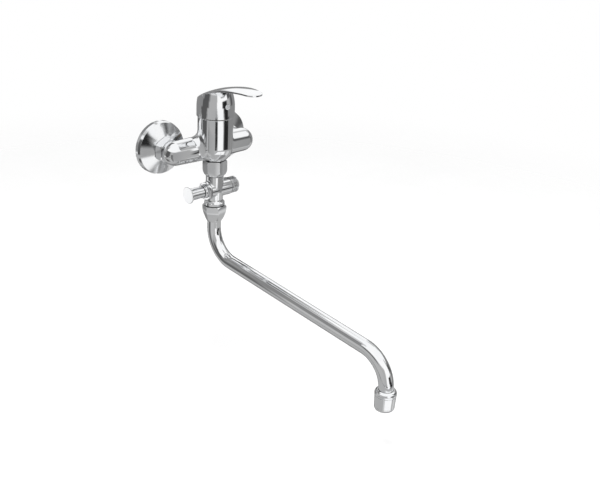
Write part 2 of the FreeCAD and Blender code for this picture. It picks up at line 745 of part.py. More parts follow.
def arch(front, top, floor):
    """One upright section of the lever's top form, arched across and flat below."""
    half = the.cap_radius.value + 0.6
    big, small = the.crown_radius.value, the.blade_shoulder.value
    lean = math.asin((half - small) / (big - small))
    y = -the.column_reach.value - front

    def spot(x, z):
        return FreeCAD.Vector(x, y, z)

    joint = (big * math.sin(lean), top - big + big * math.cos(lean))
    centre = ((big - small) * math.sin(lean), top - big + (big - small) * math.cos(lean))
    middle = (lean + math.pi / 2) / 2
    elbow = (centre[0] + small * math.sin(middle), centre[1] + small * math.cos(middle))
    edges = [
        Part.LineSegment(spot(-half, floor), spot(-half, centre[1])),
        Part.Arc(spot(-half, centre[1]), spot(-elbow[0], elbow[1]), spot(-joint[0], joint[1])),
        Part.Arc(spot(-joint[0], joint[1]), spot(0, top), spot(joint[0], joint[1])),
        Part.Arc(spot(joint[0], joint[1]), spot(elbow[0], elbow[1]), spot(half, centre[1])),
        Part.LineSegment(spot(half, centre[1]), spot(half, floor)),
        Part.LineSegment(spot(half, floor), spot(-half, floor))]
    return Part.Wire([edge.toShape() for edge in edges])


def blade_plan():
    """The blade seen from above: a tongue whose side arcs run into a round tip."""
    y0 = -the.column_reach.value
    half, side = the.blade_root_half.value, the.blade_side_radius.value
    tip = the.lever_tip_radius.value
    tip_centre = the.lever_tip.value - tip
    # a side arc starts at (half, 0) and touches the tip circle, so its centre is side - tip from that
    span = math.hypot(half, tip_centre)
    opening = math.acos((side ** 2 + span ** 2 - (side - tip) ** 2) / (2 * side * span))
    heading = math.atan2(tip_centre, -half) + opening
    centre = (half + side * math.cos(heading), side * math.sin(heading))
    start = math.atan2(-centre[1], half - centre[0])
    away = math.atan2(tip_centre - centre[1], -centre[0])
    turn = (start + away) / 2

    def spot(x, front):
        return FreeCAD.Vector(x, y0 - front, 0)

    touch = (centre[0] + side * math.cos(away), centre[1] + side * math.sin(away))
    bow = (centre[0] + side * math.cos(turn), centre[1] + side * math.sin(turn))
    edges = [
        Part.LineSegment(spot(half, 0), spot(-half, 0)),
        Part.Arc(spot(-half, 0), spot(-bow[0], bow[1]), spot(-touch[0], touch[1])),
        Part.Arc(spot(-touch[0], touch[1]), spot(0, the.lever_tip.value), spot(touch[0], touch[1])),
        Part.Arc(spot(touch[0], touch[1]), spot(bow[0], bow[1]), spot(half, 0))]
    return Part.Face(Part.Wire([edge.toShape() for edge in edges]))


def lever():
    cap_low = the.column_top + the.cap_seam
    cap_top = cap_low + the.cap_radius * 2
    draw = the.cap_draw_radius.value
    top_radius = the.cap_radius.value - draw + math.sqrt(
        draw ** 2 - (cap_top - the.cap_straight - cap_low).value ** 2)
    barrel = lathe("cap_form", [
        (0, cap_low),
        (the.cap_radius, cap_low),
        (the.cap_radius, cap_low + the.cap_straight, the.cap_draw_radius),
        (top_radius, cap_top),
        (0, cap_top)])
    crown = Part.makeLoft([arch(front, top, (cap_low - the.cap_radius).value)
                           for front, top in lever_profile()], True, False)
    form = doc.addObject("Part::Feature", "lever_form")
    form.Shape = crown
    under = doc.addObject("Part::Feature", "lever_underside")
    under.Shape = crown
    place(under, (ZERO, ZERO, -the.blade_thickness))
    blade = doc.addObject("Part::Feature", "blade_prism")
    blade.Shape = blade_plan().extrude(FreeCAD.Vector(0, 0, the.lever_tip.value))
    place(blade, (ZERO, ZERO, cap_low))
    skin = shared("lever_skin", form, fused("lever_outline", barrel, blade))
    made = without("lever_block", skin, without("below_blade", under, barrel))
    lip = the.cap_radius - the.cap_lip
    wall = the.cap_radius - the.cap_wall
    cavity = lathe("cap_cavity", [
        (0, cap_low - 1),
        (lip, cap_low - 1),
        (lip, cap_low + 0.5),
        (wall, cap_low + 2.5),
        (wall, the.cap_cavity_shoulder),
        (wall - 7.5, the.cap_cavity_top),
        (0, the.cap_cavity_top)])
    boss = rod("lever_boss", the.boss_radius, the.cap_cavity_top - the.boss_base + 1, below(-the.boss_base))
    socket = block("lever_socket", the.stem_square + 0.1, the.stem_square + 0.1,
                   the.stem_top - the.boss_base + 1.3, (ZERO, -the.column_reach), the.boss_base - 1)
    screw_hole = rod("screw_hole", the.set_screw_radius + the.thread_gap, the.boss_radius + 1,
                     (ZERO, -the.column_reach, the.set_screw_height), INTO_ROOM)
    plug_hole = rod("plug_hole", the.plug_radius + the.thread_gap, the.cap_radius,
                    (ZERO, -the.column_reach - the.boss_radius - 1, the.set_screw_height), INTO_ROOM)
    shell = without("lever_shell", made, cavity)
    node("lever_handle", without("lever", fused("lever_solid", shell, boss), socket, screw_hole, plug_hole))
    node("handle_set_screw", rod("set_screw", the.set_screw_radius, the.set_screw_length,
                                 (ZERO, -the.column_reach - the.stem_square / 2, the.set_screw_height), INTO_ROOM))
    face = the.cap_radius + the.plug_proud
    node("index_plug", lathe("plug", [
        (0, face - the.plug_depth),
        (the.plug_radius, face - the.plug_depth),
        (the.plug_radius, face - 0.4),
        (the.plug_radius - 0.4, face),
        (the.plug_radius - 1.1, face),
        (the.plug_radius - 1.3, face - 0.5),
        (0, face - 0.5)], (ZERO, -the.column_reach, the.set_screw_height), INTO_ROOM))


lever()


# Diverter: hung under the body by a hexagonal nut, with a pull knob at the left and the
# shower hose's thread at the right.

spigot_end = the.outlet_face + the.spigot_length
tail_top = spigot_end + the.outlet_washer + the.seat_gap
ring_top = tail_top + 0.4
ring_low = ring_top + the.split_ring_height
nut_top = the.outlet_face + 0.3
collar_low = the.diverter_collar_drop
spigot_low = collar_low + the.diverter_spigot


def hex_nut_above():
    """The upper nut: straight flats, then a rounded shoulder down to the diverter's neck."""
    thread = the.half_inch_thread + the.thread_gap
    shoulder = ring_low + the.seat_gap
    low = nut_top + the.upper_nut_length
    round_start = nut_top + the.upper_nut_straight
    envelope = lathe("upper_nut_envelope", [
        (thread, -nut_top),
        (the.upper_nut_flats / 2, -nut_top),
        (corner(the.upper_nut_flats), -(nut_top + 1.2)),
        (corner(the.upper_nut_flats), -round_start, the.upper_nut_round),
        (the.upper_nut_foot, -low),
        (the.diverter_tail + 0.2, -low),
        (the.diverter_tail + 0.2, -shoulder),
        (thread, -shoulder)])
    bar = hexagon("upper_nut_bar", the.upper_nut_flats, the.upper_nut_length, below(low),
                  FreeCAD.Rotation(FreeCAD.Vector(0, 0, 1), 15))
    node("diverter_nut", shared("upper_nut", bar, envelope))


def diverter():
    hex_nut_above()
    node("outlet_washer", ring("upper_washer", the.pipe_bore, the.half_inch_thread - 0.3,
                               -(spigot_end + the.outlet_washer), -spigot_end))
    groove = the.diverter_tail - the.split_ring_groove
    gap = block("split_gap", as_size(2.4), the.half_inch_thread + 1, the.split_ring_height + 1,
                (ZERO, -the.column_reach - (the.half_inch_thread + 1) / 2), -(ring_low + 0.5))
    whole = ring("split_whole", groove + 0.05, the.half_inch_thread - 0.2, -ring_low, -ring_top)
    node("diverter_split_ring", without("split_ring", whole, gap))
    low = nut_top + the.upper_nut_length
    axis = the.diverter_axis_drop
    stem = lathe("diverter_stem_form", [
        (0, -spigot_low),
        (the.half_inch_thread - 0.8, -spigot_low),
        (the.half_inch_thread, -(spigot_low - 0.8)),
        (the.half_inch_thread, -collar_low),
        (the.diverter_collar - 0.6, -collar_low),
        (the.diverter_collar, -(collar_low - 0.6)),
        (the.diverter_collar, -(the.diverter_collar_top + 1.2)),
        (the.diverter_collar - 1.0, -the.diverter_collar_top, -4),
        (the.diverter_waist, -the.diverter_waist_drop),
        (the.diverter_neck, -(axis + 2)),
        (the.diverter_neck, -(low + 0.9)),
        (the.diverter_neck - 0.6, -(low + 0.3)),
        (the.diverter_tail, -(low + 0.3)),
        (the.diverter_tail, -ring_low),
        (groove, -ring_low),
        (groove, -ring_top),
        (the.diverter_tail, -ring_top),
        (the.diverter_tail, -tail_top),
        (0, -tail_top)])
    left = rod("barrel_left", the.diverter_neck, the.barrel_left, below(axis), TO_LEFT)
    right = lathe("barrel_right", [
        (0, 0),
        (the.outlet_shank, 0),
        (the.outlet_shank, the.outlet_shank_end),
        (the.half_inch_thread - the.relief_depth, the.outlet_shank_end),
        (the.half_inch_thread - the.relief_depth, the.outlet_shank_end + the.thread_relief),
        (the.half_inch_thread, the.outlet_shank_end + the.thread_relief),
        (the.half_inch_thread, the.outlet_end - the.outlet_chamfer),
        (the.half_inch_thread - the.outlet_chamfer, the.outlet_end),
        (0, the.outlet_end)], below(axis), TO_RIGHT)
    outside = fused("diverter_outside", stem, left, right)
    start = -the.barrel_left - 0.5
    axis_point = (start, -the.column_reach, -axis)
    tools = [
        rod("valve_chamber", the.valve_bore, the.barrel_left + the.valve_land_rest + the.valve_land + 1.0,
            axis_point, TO_RIGHT),
        rod("bonnet_seat", the.bonnet_thread + the.thread_gap, the.bonnet_thread_length + 0.7,
            axis_point, TO_RIGHT),
        rod("hose_bore", the.outlet_bore, the.outlet_end + the.barrel_left + 1, axis_point, TO_RIGHT),
        rod("tail_bore", the.pipe_bore, the.diverter_axis_drop - the.valve_bore - 2.4 - tail_top,
            below(axis - the.valve_bore - 2.4)),
        rod("upper_port", the.inlet_port, the.valve_bore + 3.4,
            (the.inlet_port_offset, -the.column_reach, -axis)),
        rod("socket", the.spout_socket, spigot_low - the.spout_socket_top, below(spigot_low)),
        rod("lower_port", the.spout_port, the.spout_socket_top + 1 - axis,
            (-the.spout_port_offset, -the.column_reach, -(the.spout_socket_top + 1))),
    ]
    node("diverter_body", without("diverter_cast", outside, *tools))
    valve(axis)


def valve(axis):
    """Bonnet, gasket, sliding spindle with its land and seals, knob and finger disc."""
    # heights along these pieces run to the left from the column's axis
    centre = below(axis)
    hex_low = the.barrel_left + the.bonnet_gasket
    hex_high = hex_low + the.bonnet_hex
    collar_end = hex_high + the.bonnet_collar_length
    guide = the.spindle_radius + the.running_gap
    node("bonnet_gasket", ring("gasket", the.bonnet_thread + 0.2, the.diverter_neck - 0.3,
                               the.barrel_left, hex_low, centre, TO_LEFT))
    bar = hexagon("bonnet_bar", the.bonnet_flats, the.bonnet_hex,
                  (-hex_low, -the.column_reach, -axis), TO_LEFT)
    flats = the.bonnet_flats / 2
    chamfered = lathe("bonnet_envelope", [
        (0, hex_low),
        (corner(the.bonnet_flats), hex_low),
        (corner(the.bonnet_flats), hex_high - 1.0),
        (flats, hex_high),
        (0, hex_high)], centre, TO_LEFT)
    gland = the.spindle_radius + the.ring_section * 2
    turned = lathe("bonnet_turned", [
        (0, the.barrel_left - the.bonnet_thread_length),
        (the.bonnet_thread, the.barrel_left - the.bonnet_thread_length),
        (the.bonnet_thread, hex_high - 1.0),
        (the.bonnet_collar, hex_high - 1.0),
        (the.bonnet_collar, collar_end - 0.6),
        (the.bonnet_collar - 0.6, collar_end),
        (0, collar_end)], centre, TO_LEFT)
    bore = lathe("bonnet_bore", [
        (0, the.barrel_left - the.bonnet_thread_length - 1),
        (guide, the.barrel_left - the.bonnet_thread_length - 1),
        (guide, hex_low + 0.8),
        (gland, hex_low + 0.8),
        (gland, hex_low + 1.0 + the.ring_section * 2),
        (guide, hex_low + 1.0 + the.ring_section * 2),
        (guide, collar_end + 1),
        (0, collar_end + 1)], centre, TO_LEFT)
    hexed = shared("bonnet_hexed", bar, chamfered)
    node("diverter_bonnet", without("bonnet", fused("bonnet_solid", hexed, turned), bore))
    gland_ring = doc.addObject("Part::Torus", "gland_ring")
    bind(gland_ring, Radius1=the.spindle_radius + the.ring_section, Radius2=the.ring_section - 0.02)
    place(gland_ring, (-(hex_low + 0.9 + the.ring_section), -the.column_reach, -axis), TO_LEFT)
    node("bonnet_seal", gland_ring)
    land_right = -(the.valve_land_rest + the.valve_land)
    land_left = -the.valve_land_rest
    land = the.valve_bore - the.running_gap
    seat = land - the.ring_section * 2
    middle = (land_left + land_right) / 2
    knob_low = collar_end + 0.3
    hub_end = knob_low + the.knob_hub_depth
    node("diverter_spindle", lathe("spindle", [
        (0, land_right),
        (land, land_right),
        (land, middle - the.ring_section - 0.1),
        (seat, middle - the.ring_section - 0.1),
        (seat, middle + the.ring_section + 0.1),
        (land, middle + the.ring_section + 0.1),
        (land, land_left),
        (the.spindle_neck, land_left),
        (the.spindle_neck, the.barrel_left - the.bonnet_thread_length - 2.0),
        (the.spindle_radius, the.barrel_left - the.bonnet_thread_length - 1.0),
        (the.spindle_radius, hub_end - 0.2),
        (0, hub_end - 0.2)], centre, TO_LEFT))
    land_ring = doc.addObject("Part::Torus", "land_ring")
    bind(land_ring, Radius1=land - the.ring_section, Radius2=the.ring_section - 0.02)
    place(land_ring, (-middle, -the.column_reach, -axis), TO_LEFT)
    node("spindle_seal", land_ring)
    knob_end = knob_low + the.knob_length
    pin = as_size(2.0)
    node("diverter_knob", lathe("knob", [
        (the.spindle_radius + 0.02, knob_low),
        (the.knob_radius - 0.5, knob_low),
        (the.knob_radius, knob_low + 0.5),
        (the.knob_radius, knob_end),
        (pin + 0.05, knob_end),
        (pin + 0.05, hub_end + 1.2),
        (0, hub_end + 1.2),
        (0, hub_end),
        (the.spindle_radius + 0.02, hub_end)], centre, TO_LEFT))
    node("knob_finger_disc", lathe("finger_disc", [
        (0, hub_end + 1.4),
        (pin, hub_end + 1.4),
        (pin, knob_end),
        (the.knob_disc_radius, knob_end),
        (the.knob_disc_radius, knob_end + the.knob_disc_thickness - 0.3),
        (the.knob_disc_radius - 0.3, knob_end + the.knob_disc_thickness),
        (0, knob_end + the.knob_disc_thickness)], centre, TO_LEFT))


diverter()


# Spout: its bush turns in the diverter's socket, held up by a tapered hexagonal nut.

bush_collar_top = spigot_low + 0.4
bush_collar_low = bush_collar_top + the.spout_bush_collar
glide_top = bush_collar_low + 0.05
glide_low = glide_top + the.glide_ring
spout_nut_low = the.spout_nut_top + the.spout_nut_length


second_corner = the.spout_first_corner + the.spout_fall
mouth_top = second_corner + the.spout_end_fall
mouth_seam = mouth_top + the.mouth_ring_height
tube_end = mouth_top + the.tube_in_ring


def spout_nut():
    thread = the.half_inch_thread + the.thread_gap
    tube_hole = the.tube_radius + the.running_gap * 4
    wires = []
    straight = the.spout_nut_top + the.spout_nut_straight
    for flats, drop in ((the.spout_nut_flats, the.spout_nut_top),
                        (the.spout_nut_flats, straight),
                        (the.spout_nut_waist_flats, spout_nut_low - the.spout_nut_waist),
                        (the.spout_nut_foot_flats, spout_nut_low)):
        radius = corner(flats).value
        points = []
        for side in range(7):
            angle = math.radians(60 * side + 12)
            points.append(FreeCAD.Vector(radius * math.cos(angle), radius * math.sin(angle) - the.column_reach.value,
                                         -drop.value))
        wires.append(Part.makePolygon(points))
    taper = doc.addObject("Part::Feature", "spout_nut_taper")
    taper.Shape = Part.makeLoft(wires, True, False)
    doc.recompute()
    edge = corner(the.spout_nut_flats)
    envelope = lathe("spout_nut_envelope", [
        (thread, -the.spout_nut_top),
        (the.spout_nut_flats / 2, -the.spout_nut_top),
        (edge, -(the.spout_nut_top + 1.2)),
        (edge, -(straight + 2), the.spout_nut_round),
        (the.spout_nut_foot_flats / 2 + 0.1, -spout_nut_low),
        (tube_hole, -spout_nut_low),
        (tube_hole, -(glide_low + 0.05)),
        (thread, -(glide_low + 0.05))])
    node("spout_nut", shared("lower_nut", taper, envelope))


def spout_tube():
    """The bent tube: down, a long falling run into the room, and down to the mouth."""
    depth = as_size(-1.0) * the.column_reach
    corner_one = (0.0, -the.spout_first_corner.value)
    corner_two = (-the.spout_reach.value, -second_corner.value)
    tube_top = bush_collar_low.value
    start, end = (0.0, -tube_top), (corner_two[0], -tube_end.value)
    radius = the.spout_bend.value
    run = FreeCAD.Vector(corner_two[0] - corner_one[0], corner_two[1] - corner_one[1], 0)
    turn = math.atan2(-run.x, -run.y)
    reach = radius * math.tan(turn / 2)
    run.normalize()
    path = doc.addObject("Sketcher::SketchObject", "spout_path")
    path.Placement = FreeCAD.Placement(FreeCAD.Vector(0, depth.value, 0),
                                       FreeCAD.Rotation(FreeCAD.Vector(1, 1, 1), 120))
    path.setExpression(".Placement.Base.y", depth.text)
    flat = [FreeCAD.Vector(*point, 0) for point in (start, corner_one, corner_two, end)]
    down = FreeCAD.Vector(0, -1, 0)
    bends = []
    for spot, entry, leave in ((flat[1], down, run), (flat[2], run, down)):
        first, last = spot - entry * reach, spot + leave * reach
        inward = (leave - entry).normalize()
        middle = spot + inward * (radius / math.cos(turn / 2) - radius)
        bends.append((first, middle, last))
    path.addGeometry(Part.LineSegment(flat[0], bends[0][0]))
    path.addGeometry(Part.Arc(*bends[0]))
    path.addGeometry(Part.LineSegment(bends[0][2], bends[1][0]))
    path.addGeometry(Part.Arc(*bends[1]))
    path.addGeometry(Part.LineSegment(bends[1][2], flat[3]))
    doc.recompute()
    shapes = []
    for name, size in (("tube_outside", the.tube_radius), ("tube_inside", the.tube_radius - the.tube_wall)):
        wire = path.Shape.Wires[0]
        circle = Part.Wire([Part.makeCircle(size.value, path.Shape.Vertexes[0].Point, FreeCAD.Vector(0, 0, -1))])
        pipe = doc.addObject("Part::Feature", name)
        pipe.Shape = wire.makePipeShell([circle], True, False)
        shapes.append(pipe)
    doc.recompute()
    return without("tube", *shapes)


def spout():
    spout_nut()
    bush = the.spout_socket - 0.1
    groove = bush - the.ring_section * 2 + 0.1
    upper_ring = the.spout_bush_top + the.bush_ring_inset
    ring_spots = (upper_ring, upper_ring + the.bush_ring_spacing)
    profile = [(the.bush_bore, -(bush_collar_low + the.spout_bush_tail)),
               (the.tube_radius - the.tube_wall - 0.05, -(bush_collar_low + the.spout_bush_tail)),
               (the.tube_radius - the.tube_wall - 0.05, -bush_collar_low),
               (the.half_inch_thread - 0.3, -bush_collar_low),
               (the.half_inch_thread - 0.3, -bush_collar_top),
               (bush, -bush_collar_top)]
    rings = []
    for index, spot in enumerate(reversed(ring_spots)):
        half = the.ring_section + 0.15
        profile += [(bush, -(spot + half)), (groove, -(spot + half)), (groove, -(spot - half)), (bush, -(spot - half))]
        torus = doc.addObject("Part::Torus", "spout_ring_%d" % index)
        bind(torus, Radius1=the.spout_socket - the.ring_section - 0.01, Radius2=the.ring_section - 0.02)
        place(torus, below(spot))
        rings.append(torus)
    profile += [(bush, -the.spout_bush_top), (the.bush_bore, -the.spout_bush_top)]
    node("spout_bush", lathe("bush", profile))
    node("spout_seal_rings", bundle("spout_rings", *rings))
    node("spout_glide_ring", ring("glide", the.tube_radius + the.running_gap * 2, the.half_inch_thread - 0.2,
                                  -glide_low, -glide_top))
    node("spout_tube", spout_tube())


spout()


# Mouth of the spout: a threaded ring on the tube's end, and the aerator in its housing.

def mouth():
    end = (ZERO, -the.column_reach - the.spout_reach, ZERO)
    thread_low = mouth_seam + the.mouth_thread_length
    washer_low = thread_low + the.seat_gap + the.aerator_washer
    screen_low = washer_low + the.screen_thickness
    housing_bottom = mouth_seam + the.housing_height
    lip_top = housing_bottom - the.housing_lip_height
    node("spout_mouth_ring", lathe("mouth_ring", [
        (the.tube_radius - the.tube_wall, -(tube_end + 0.1)),
        (the.tube_radius + 0.1, -(tube_end + 0.1)),
        (the.tube_radius + 0.1, -mouth_top),
        (the.mouth_neck, -mouth_top, 5),
        (the.mouth_radius, -(mouth_seam - 1.2)),
        (the.mouth_radius, -mouth_seam),
        (the.mouth_thread, -mouth_seam),
        (the.mouth_thread, -thread_low),
        (the.tube_radius - the.tube_wall, -thread_low)], end))
    node("aerator_housing", lathe("housing", [
        (the.mouth_thread + the.thread_gap, -(mouth_seam + 0.2)),
        (the.mouth_thread + the.thread_gap, -lip_top),
        (the.housing_mouth, -lip_top),
        (the.housing_mouth, -housing_bottom),
        (the.housing_lip, -housing_bottom, 5),
        (the.housing_foot, -(mouth_seam + the.housing_foot_height)),
        (the.housing_radius, -(mouth_seam + 0.7)),
        (the.housing_radius - 0.3, -(mouth_seam + 0.2))], end))
    outer = the.mouth_thread - 0.1
    node("aerator_washer", ring("mouth_washer", the.tube_radius - the.tube_wall, outer,
                                -washer_low, -(thread_low + the.seat_gap), end))
    node("aerator_screen", perforated("screen", outer, the.screen_thickness, 0.7,
                                      ((2.2, 6), (4.4, 12), (6.4, 18)), below(screen_low, end), UP))
    insert_height = lip_top - the.seat_gap - screen_low
    grid = perforated("insert_grid", outer - the.insert_wall / 2, the.insert_grid, 1.0,
                      ((2.6, 6), (5.2, 12), (7.8, 18)), below(lip_top - the.seat_gap, end), UP)
    barrel = lathe("insert_barrel", [
        (outer - the.insert_wall, 0),
        (outer, 0),
        (outer, insert_height),
        (outer - the.insert_wall, insert_height)], below(lip_top - the.seat_gap, end), UP)
    node("aerator_insert", fused("insert", barrel, grid))


mouth()


# Every object and every finished piece is checked before anything is written.

doc.recompute()
broken = [made.Name for made in doc.Objects if "Invalid" in made.State or "Error" in made.State]
for name, made in nodes.items():
    shape = made.Shape
    if shape.isNull() or not shape.isValid() or not shape.Solids:
        broken.append(name)
if broken:
    raise RuntimeError("these did not build: " + ", ".join(broken))

os.makedirs("parts", exist_ok=True)
for name, made in nodes.items():
    made.Shape.exportStep("parts/%s.step" % name)
    box = made.Shape.BoundBox
    print("%-22s %2d solid(s) %10.1f mm3  x %.1f %.1f  y %.1f %.1f  z %.1f %.1f" % (
        name, len(made.Shape.Solids), made.Shape.Volume, box.XMin, box.XMax, box.YMin, box.YMax, box.ZMin, box.ZMax))
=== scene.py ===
# %% [markdown]
# A chromed wall mixer tap
#
# The solid model of the tap comes in as a fixed frame, already in metres and in place. This lesson
# dresses it: it sets the camera, gives every piece a finish, cuts real ridges into the screw
# threads, and lights the metal so that it shows the broad white and black bands of a studio
# photograph. The column's axis stands at y = -51 mm, the wall is the plane y = 0, and z = 0 is the
# height of the two water inlets.

# %% Load the frame
import math
import bmesh
import bpy
from mathutils import Matrix, Vector


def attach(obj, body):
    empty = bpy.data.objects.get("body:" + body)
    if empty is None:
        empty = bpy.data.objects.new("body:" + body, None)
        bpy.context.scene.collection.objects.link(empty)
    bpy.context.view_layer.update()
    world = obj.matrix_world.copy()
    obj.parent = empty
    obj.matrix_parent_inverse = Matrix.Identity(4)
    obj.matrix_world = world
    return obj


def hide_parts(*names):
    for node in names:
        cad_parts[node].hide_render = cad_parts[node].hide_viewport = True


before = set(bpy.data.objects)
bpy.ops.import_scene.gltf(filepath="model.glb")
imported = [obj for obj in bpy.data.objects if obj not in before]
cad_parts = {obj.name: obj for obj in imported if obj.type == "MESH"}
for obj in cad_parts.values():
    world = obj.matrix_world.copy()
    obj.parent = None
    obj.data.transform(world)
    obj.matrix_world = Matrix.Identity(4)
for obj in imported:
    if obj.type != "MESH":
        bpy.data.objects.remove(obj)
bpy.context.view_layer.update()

COLUMN = Vector((0.0, -0.051, 0.0))


# %% [markdown]
# The camera. A photograph can be matched by eye, by dragging a camera about, or by solving for it:
# the outlines of round parts, whose sizes are known from the model, fix the distance and the three
# angles. The solved camera stands at the front left, above the tap, and is rolled by 3 degrees.

# %% Camera
PICTURE_WIDTH = 600.0
FOCAL_LENGTH = 906.54      # solved in pixels of the picture, turned into millimetres below

eye = Vector((-0.6836, -0.8991, 0.3497))
right = Vector((0.7242, -0.6876, 0.0514)).normalized()
back = Vector((-0.6445, -0.6486, 0.4048)).normalized()
up = back.cross(right).normalized()
right = up.cross(back)

camera_data = bpy.data.cameras.new("photo_camera")
camera_data.sensor_width = 36.0
camera_data.lens = FOCAL_LENGTH * camera_data.sensor_width / PICTURE_WIDTH
camera_data.clip_start = 0.05
camera_data.clip_end = 20.0
camera_data.dof.use_dof = False
camera = bpy.data.objects.new("photo_camera", camera_data)
bpy.context.scene.collection.objects.link(camera)
turned = Matrix((right, up, back)).transposed().to_4x4()
turned.translation = eye
camera.matrix_world = turned
bpy.context.scene.camera = camera
print("lens", round(camera_data.lens, 2), "mm")


# %% [markdown]
# A finish is a small network of nodes. Each one below starts from the same helper, which makes a
# material with one Principled shader. Values that are the same all over a piece are set on the
# shader itself; values that vary, such as roughness, come from a texture read in object space, so
# that the pattern stays on the piece when it moves.

# %% A new finish and its speckle
def new_finish(name):
    """A material with one Principled shader: (material, its nodes, its links, the shader)."""
    material = bpy.data.materials.new(name)
    material.use_nodes = True
    tree = material.node_tree
    return material, tree.nodes, tree.links, tree.nodes["Principled BSDF"]


def speckle(nodes, links, size, detail=2.0, squash=(1.0, 1.0, 1.0)):
    """Noise whose grains are about size metres wide, read in object space."""
    place = nodes.new("ShaderNodeTexCoord")
    mapping = nodes.new("ShaderNodeMapping")
    mapping.inputs["Scale"].default_value = squash
    noise = nodes.new("ShaderNodeTexNoise")
    noise.inputs["Scale"].default_value = 1.0 / size
    noise.inputs["Detail"].default_value = detail
    links.new(place.outputs["Object"], mapping.inputs["Vector"])
    links.new(mapping.outputs["Vector"], noise.inputs["Vector"])
    return noise.outputs["Fac"]


print("made the helpers for a finish and its speckle")


# %% [markdown]
# A speckle is a grey value between 0 and 1. Three helpers turn it into what a surface shows: a
# number such as roughness, a colour between two tones, and small bumps. The last one also eases
# the sharp edges of the solids by a few tenths of a millimetre, as buffing does.

# %% What a speckle does to a surface
NOISE_LOW, NOISE_HIGH = 0.3, 0.7       # where nearly all values of the noise lie
TONE_DARK, TONE_LIGHT = 0.35, 0.65     # where the noise shows the dark and the light tone


def spread(nodes, links, source, low, high):
    """The texture's grey values moved into the range low to high."""
    stretch = nodes.new("ShaderNodeMapRange")
    stretch.inputs["From Min"].default_value = NOISE_LOW
    stretch.inputs["From Max"].default_value = NOISE_HIGH
    stretch.inputs["To Min"].default_value = low
    stretch.inputs["To Max"].default_value = high
    links.new(source, stretch.inputs["Value"])
    return stretch.outputs["Result"]


def two_tones(nodes, links, source, dark, light):
    """A colour between dark and light, chosen by the texture."""
    tones = nodes.new("ShaderNodeValToRGB")
    tones.color_ramp.elements[0].position = TONE_DARK
    tones.color_ramp.elements[0].color = (*dark, 1.0)
    tones.color_ramp.elements[1].position = TONE_LIGHT
    tones.color_ramp.elements[1].color = (*light, 1.0)
    links.new(source, tones.inputs["Fac"])
    return tones.outputs["Color"]


def relief(nodes, links, shader, source, height, soft_edge=0.0):
    """Bumps of the given height in metres, on edges eased by soft_edge metres."""
    bump = nodes.new("ShaderNodeBump")
    bump.inputs["Distance"].default_value = height
    links.new(source, bump.inputs["Height"])
    if soft_edge:
        edge = nodes.new("ShaderNodeBevel")
        edge.samples = 4
        edge.inputs["Radius"].default_value = soft_edge
        links.new(edge.outputs["Normal"], bump.inputs["Normal"])
    links.new(bump.outputs["Normal"], shader.inputs["Normal"])


print("made the helpers for roughness, tones and relief")


# %% [markdown]
# Painted shade in creases. Where two pieces meet, the metal mirrors only itself and looks dark
# there. A mirror that reflects a bright tent would hide that line, so the shade is painted into the
# colour: the Ambient Occlusion node measures how much of the air round a point is free, and little
# free air darkens it.

# %% Painted shade in creases
CREASE_REACH = 0.0016                    # how near another surface has to be, in metres
CREASE_CLOSED, CREASE_OPEN = 0.30, 0.80  # the share of free air in a closed and an open crease
CREASE_SHADE = 0.10                      # what is left of the colour in a closed crease


def painted_crease_shade(nodes, links, colour):
    """The colour, with painted shade where another surface stands near."""
    crease = nodes.new("ShaderNodeAmbientOcclusion")
    crease.samples = 6
    crease.inputs["Distance"].default_value = CREASE_REACH
    depth = nodes.new("ShaderNodeMapRange")
    depth.inputs["From Min"].default_value = CREASE_CLOSED
    depth.inputs["From Max"].default_value = CREASE_OPEN
    depth.inputs["To Min"].default_value = CREASE_SHADE
    links.new(crease.outputs["AO"], depth.inputs["Value"])
    shaded = nodes.new("ShaderNodeMix")
    shaded.data_type = "RGBA"
    shaded.blend_type = "MULTIPLY"
    shaded.inputs["Factor"].default_value = 1.0
    links.new(colour, shaded.inputs["A"])
    links.new(depth.outputs["Result"], shaded.inputs["B"])
    return shaded.outputs["Result"]


print("creases darken within", CREASE_REACH * 1000.0, "mm of another surface")


# %% [markdown]
# Chrome plate. Real chrome is a mirror with a trace of blue, laid over brass that was ground and
# buffed by hand. A perfect mirror looks drawn, so two things are varied: the roughness, in soft
# clouds where fingers and cloths have been, and the surface itself, by waves of a few
# thousandths of a millimetre that make the reflected bands wander slightly.

# %% Chrome on the castings
CHROME_DULL = (0.86, 0.87, 0.885)
CHROME_BRIGHT = (0.905, 0.91, 0.915)


def chrome(name, cloud, wave, height, soft_edge, blur):
    """Chrome with clouds and waves of these widths, waves of this height, and this roughness."""
    material, nodes, links, shader = new_finish(name)
    shader.inputs["Metallic"].default_value = 1.0
    clouds = speckle(nodes, links, cloud, detail=3.0)
    plate = two_tones(nodes, links, clouds, CHROME_DULL, CHROME_BRIGHT)
    # painted shade: the plate's colour is darkened in creases
    links.new(painted_crease_shade(nodes, links, plate), shader.inputs["Base Color"])
    links.new(spread(nodes, links, clouds, blur * 0.6, blur * 1.4), shader.inputs["Roughness"])
    waves = speckle(nodes, links, wave, detail=1.0)
    relief(nodes, links, shader, waves, height, soft_edge)
    return material


chrome_cast = chrome("chrome_cast", cloud=0.018, wave=0.009, height=0.00002,
                     soft_edge=0.0004, blur=0.05)
print("made", chrome_cast.name)


# %% [markdown]
# The spout and the wall covers are drawn and spun from tube and sheet. They are straighter than the
# castings, so their waves are longer. The spun covers are buffed less than the rest: their greys
# run into each other in the photograph, so their mirror is softer.

# %% Chrome on the tube and covers
chrome_tube = chrome("chrome_tube", cloud=0.025, wave=0.016, height=0.00002,
                     soft_edge=0.0003, blur=0.05)
chrome_cover = chrome("chrome_cover", cloud=0.020, wave=0.014, height=0.00002,
                      soft_edge=0.0003, blur=0.13)
print("made", chrome_tube.name, "and", chrome_cover.name)


# %% [markdown]
# Brass shows inside the tap, where nothing is plated: on the stem, the bushes and the threaded
# tails. It comes off the lathe with fine rings and dulls unevenly, from yellow towards brown.

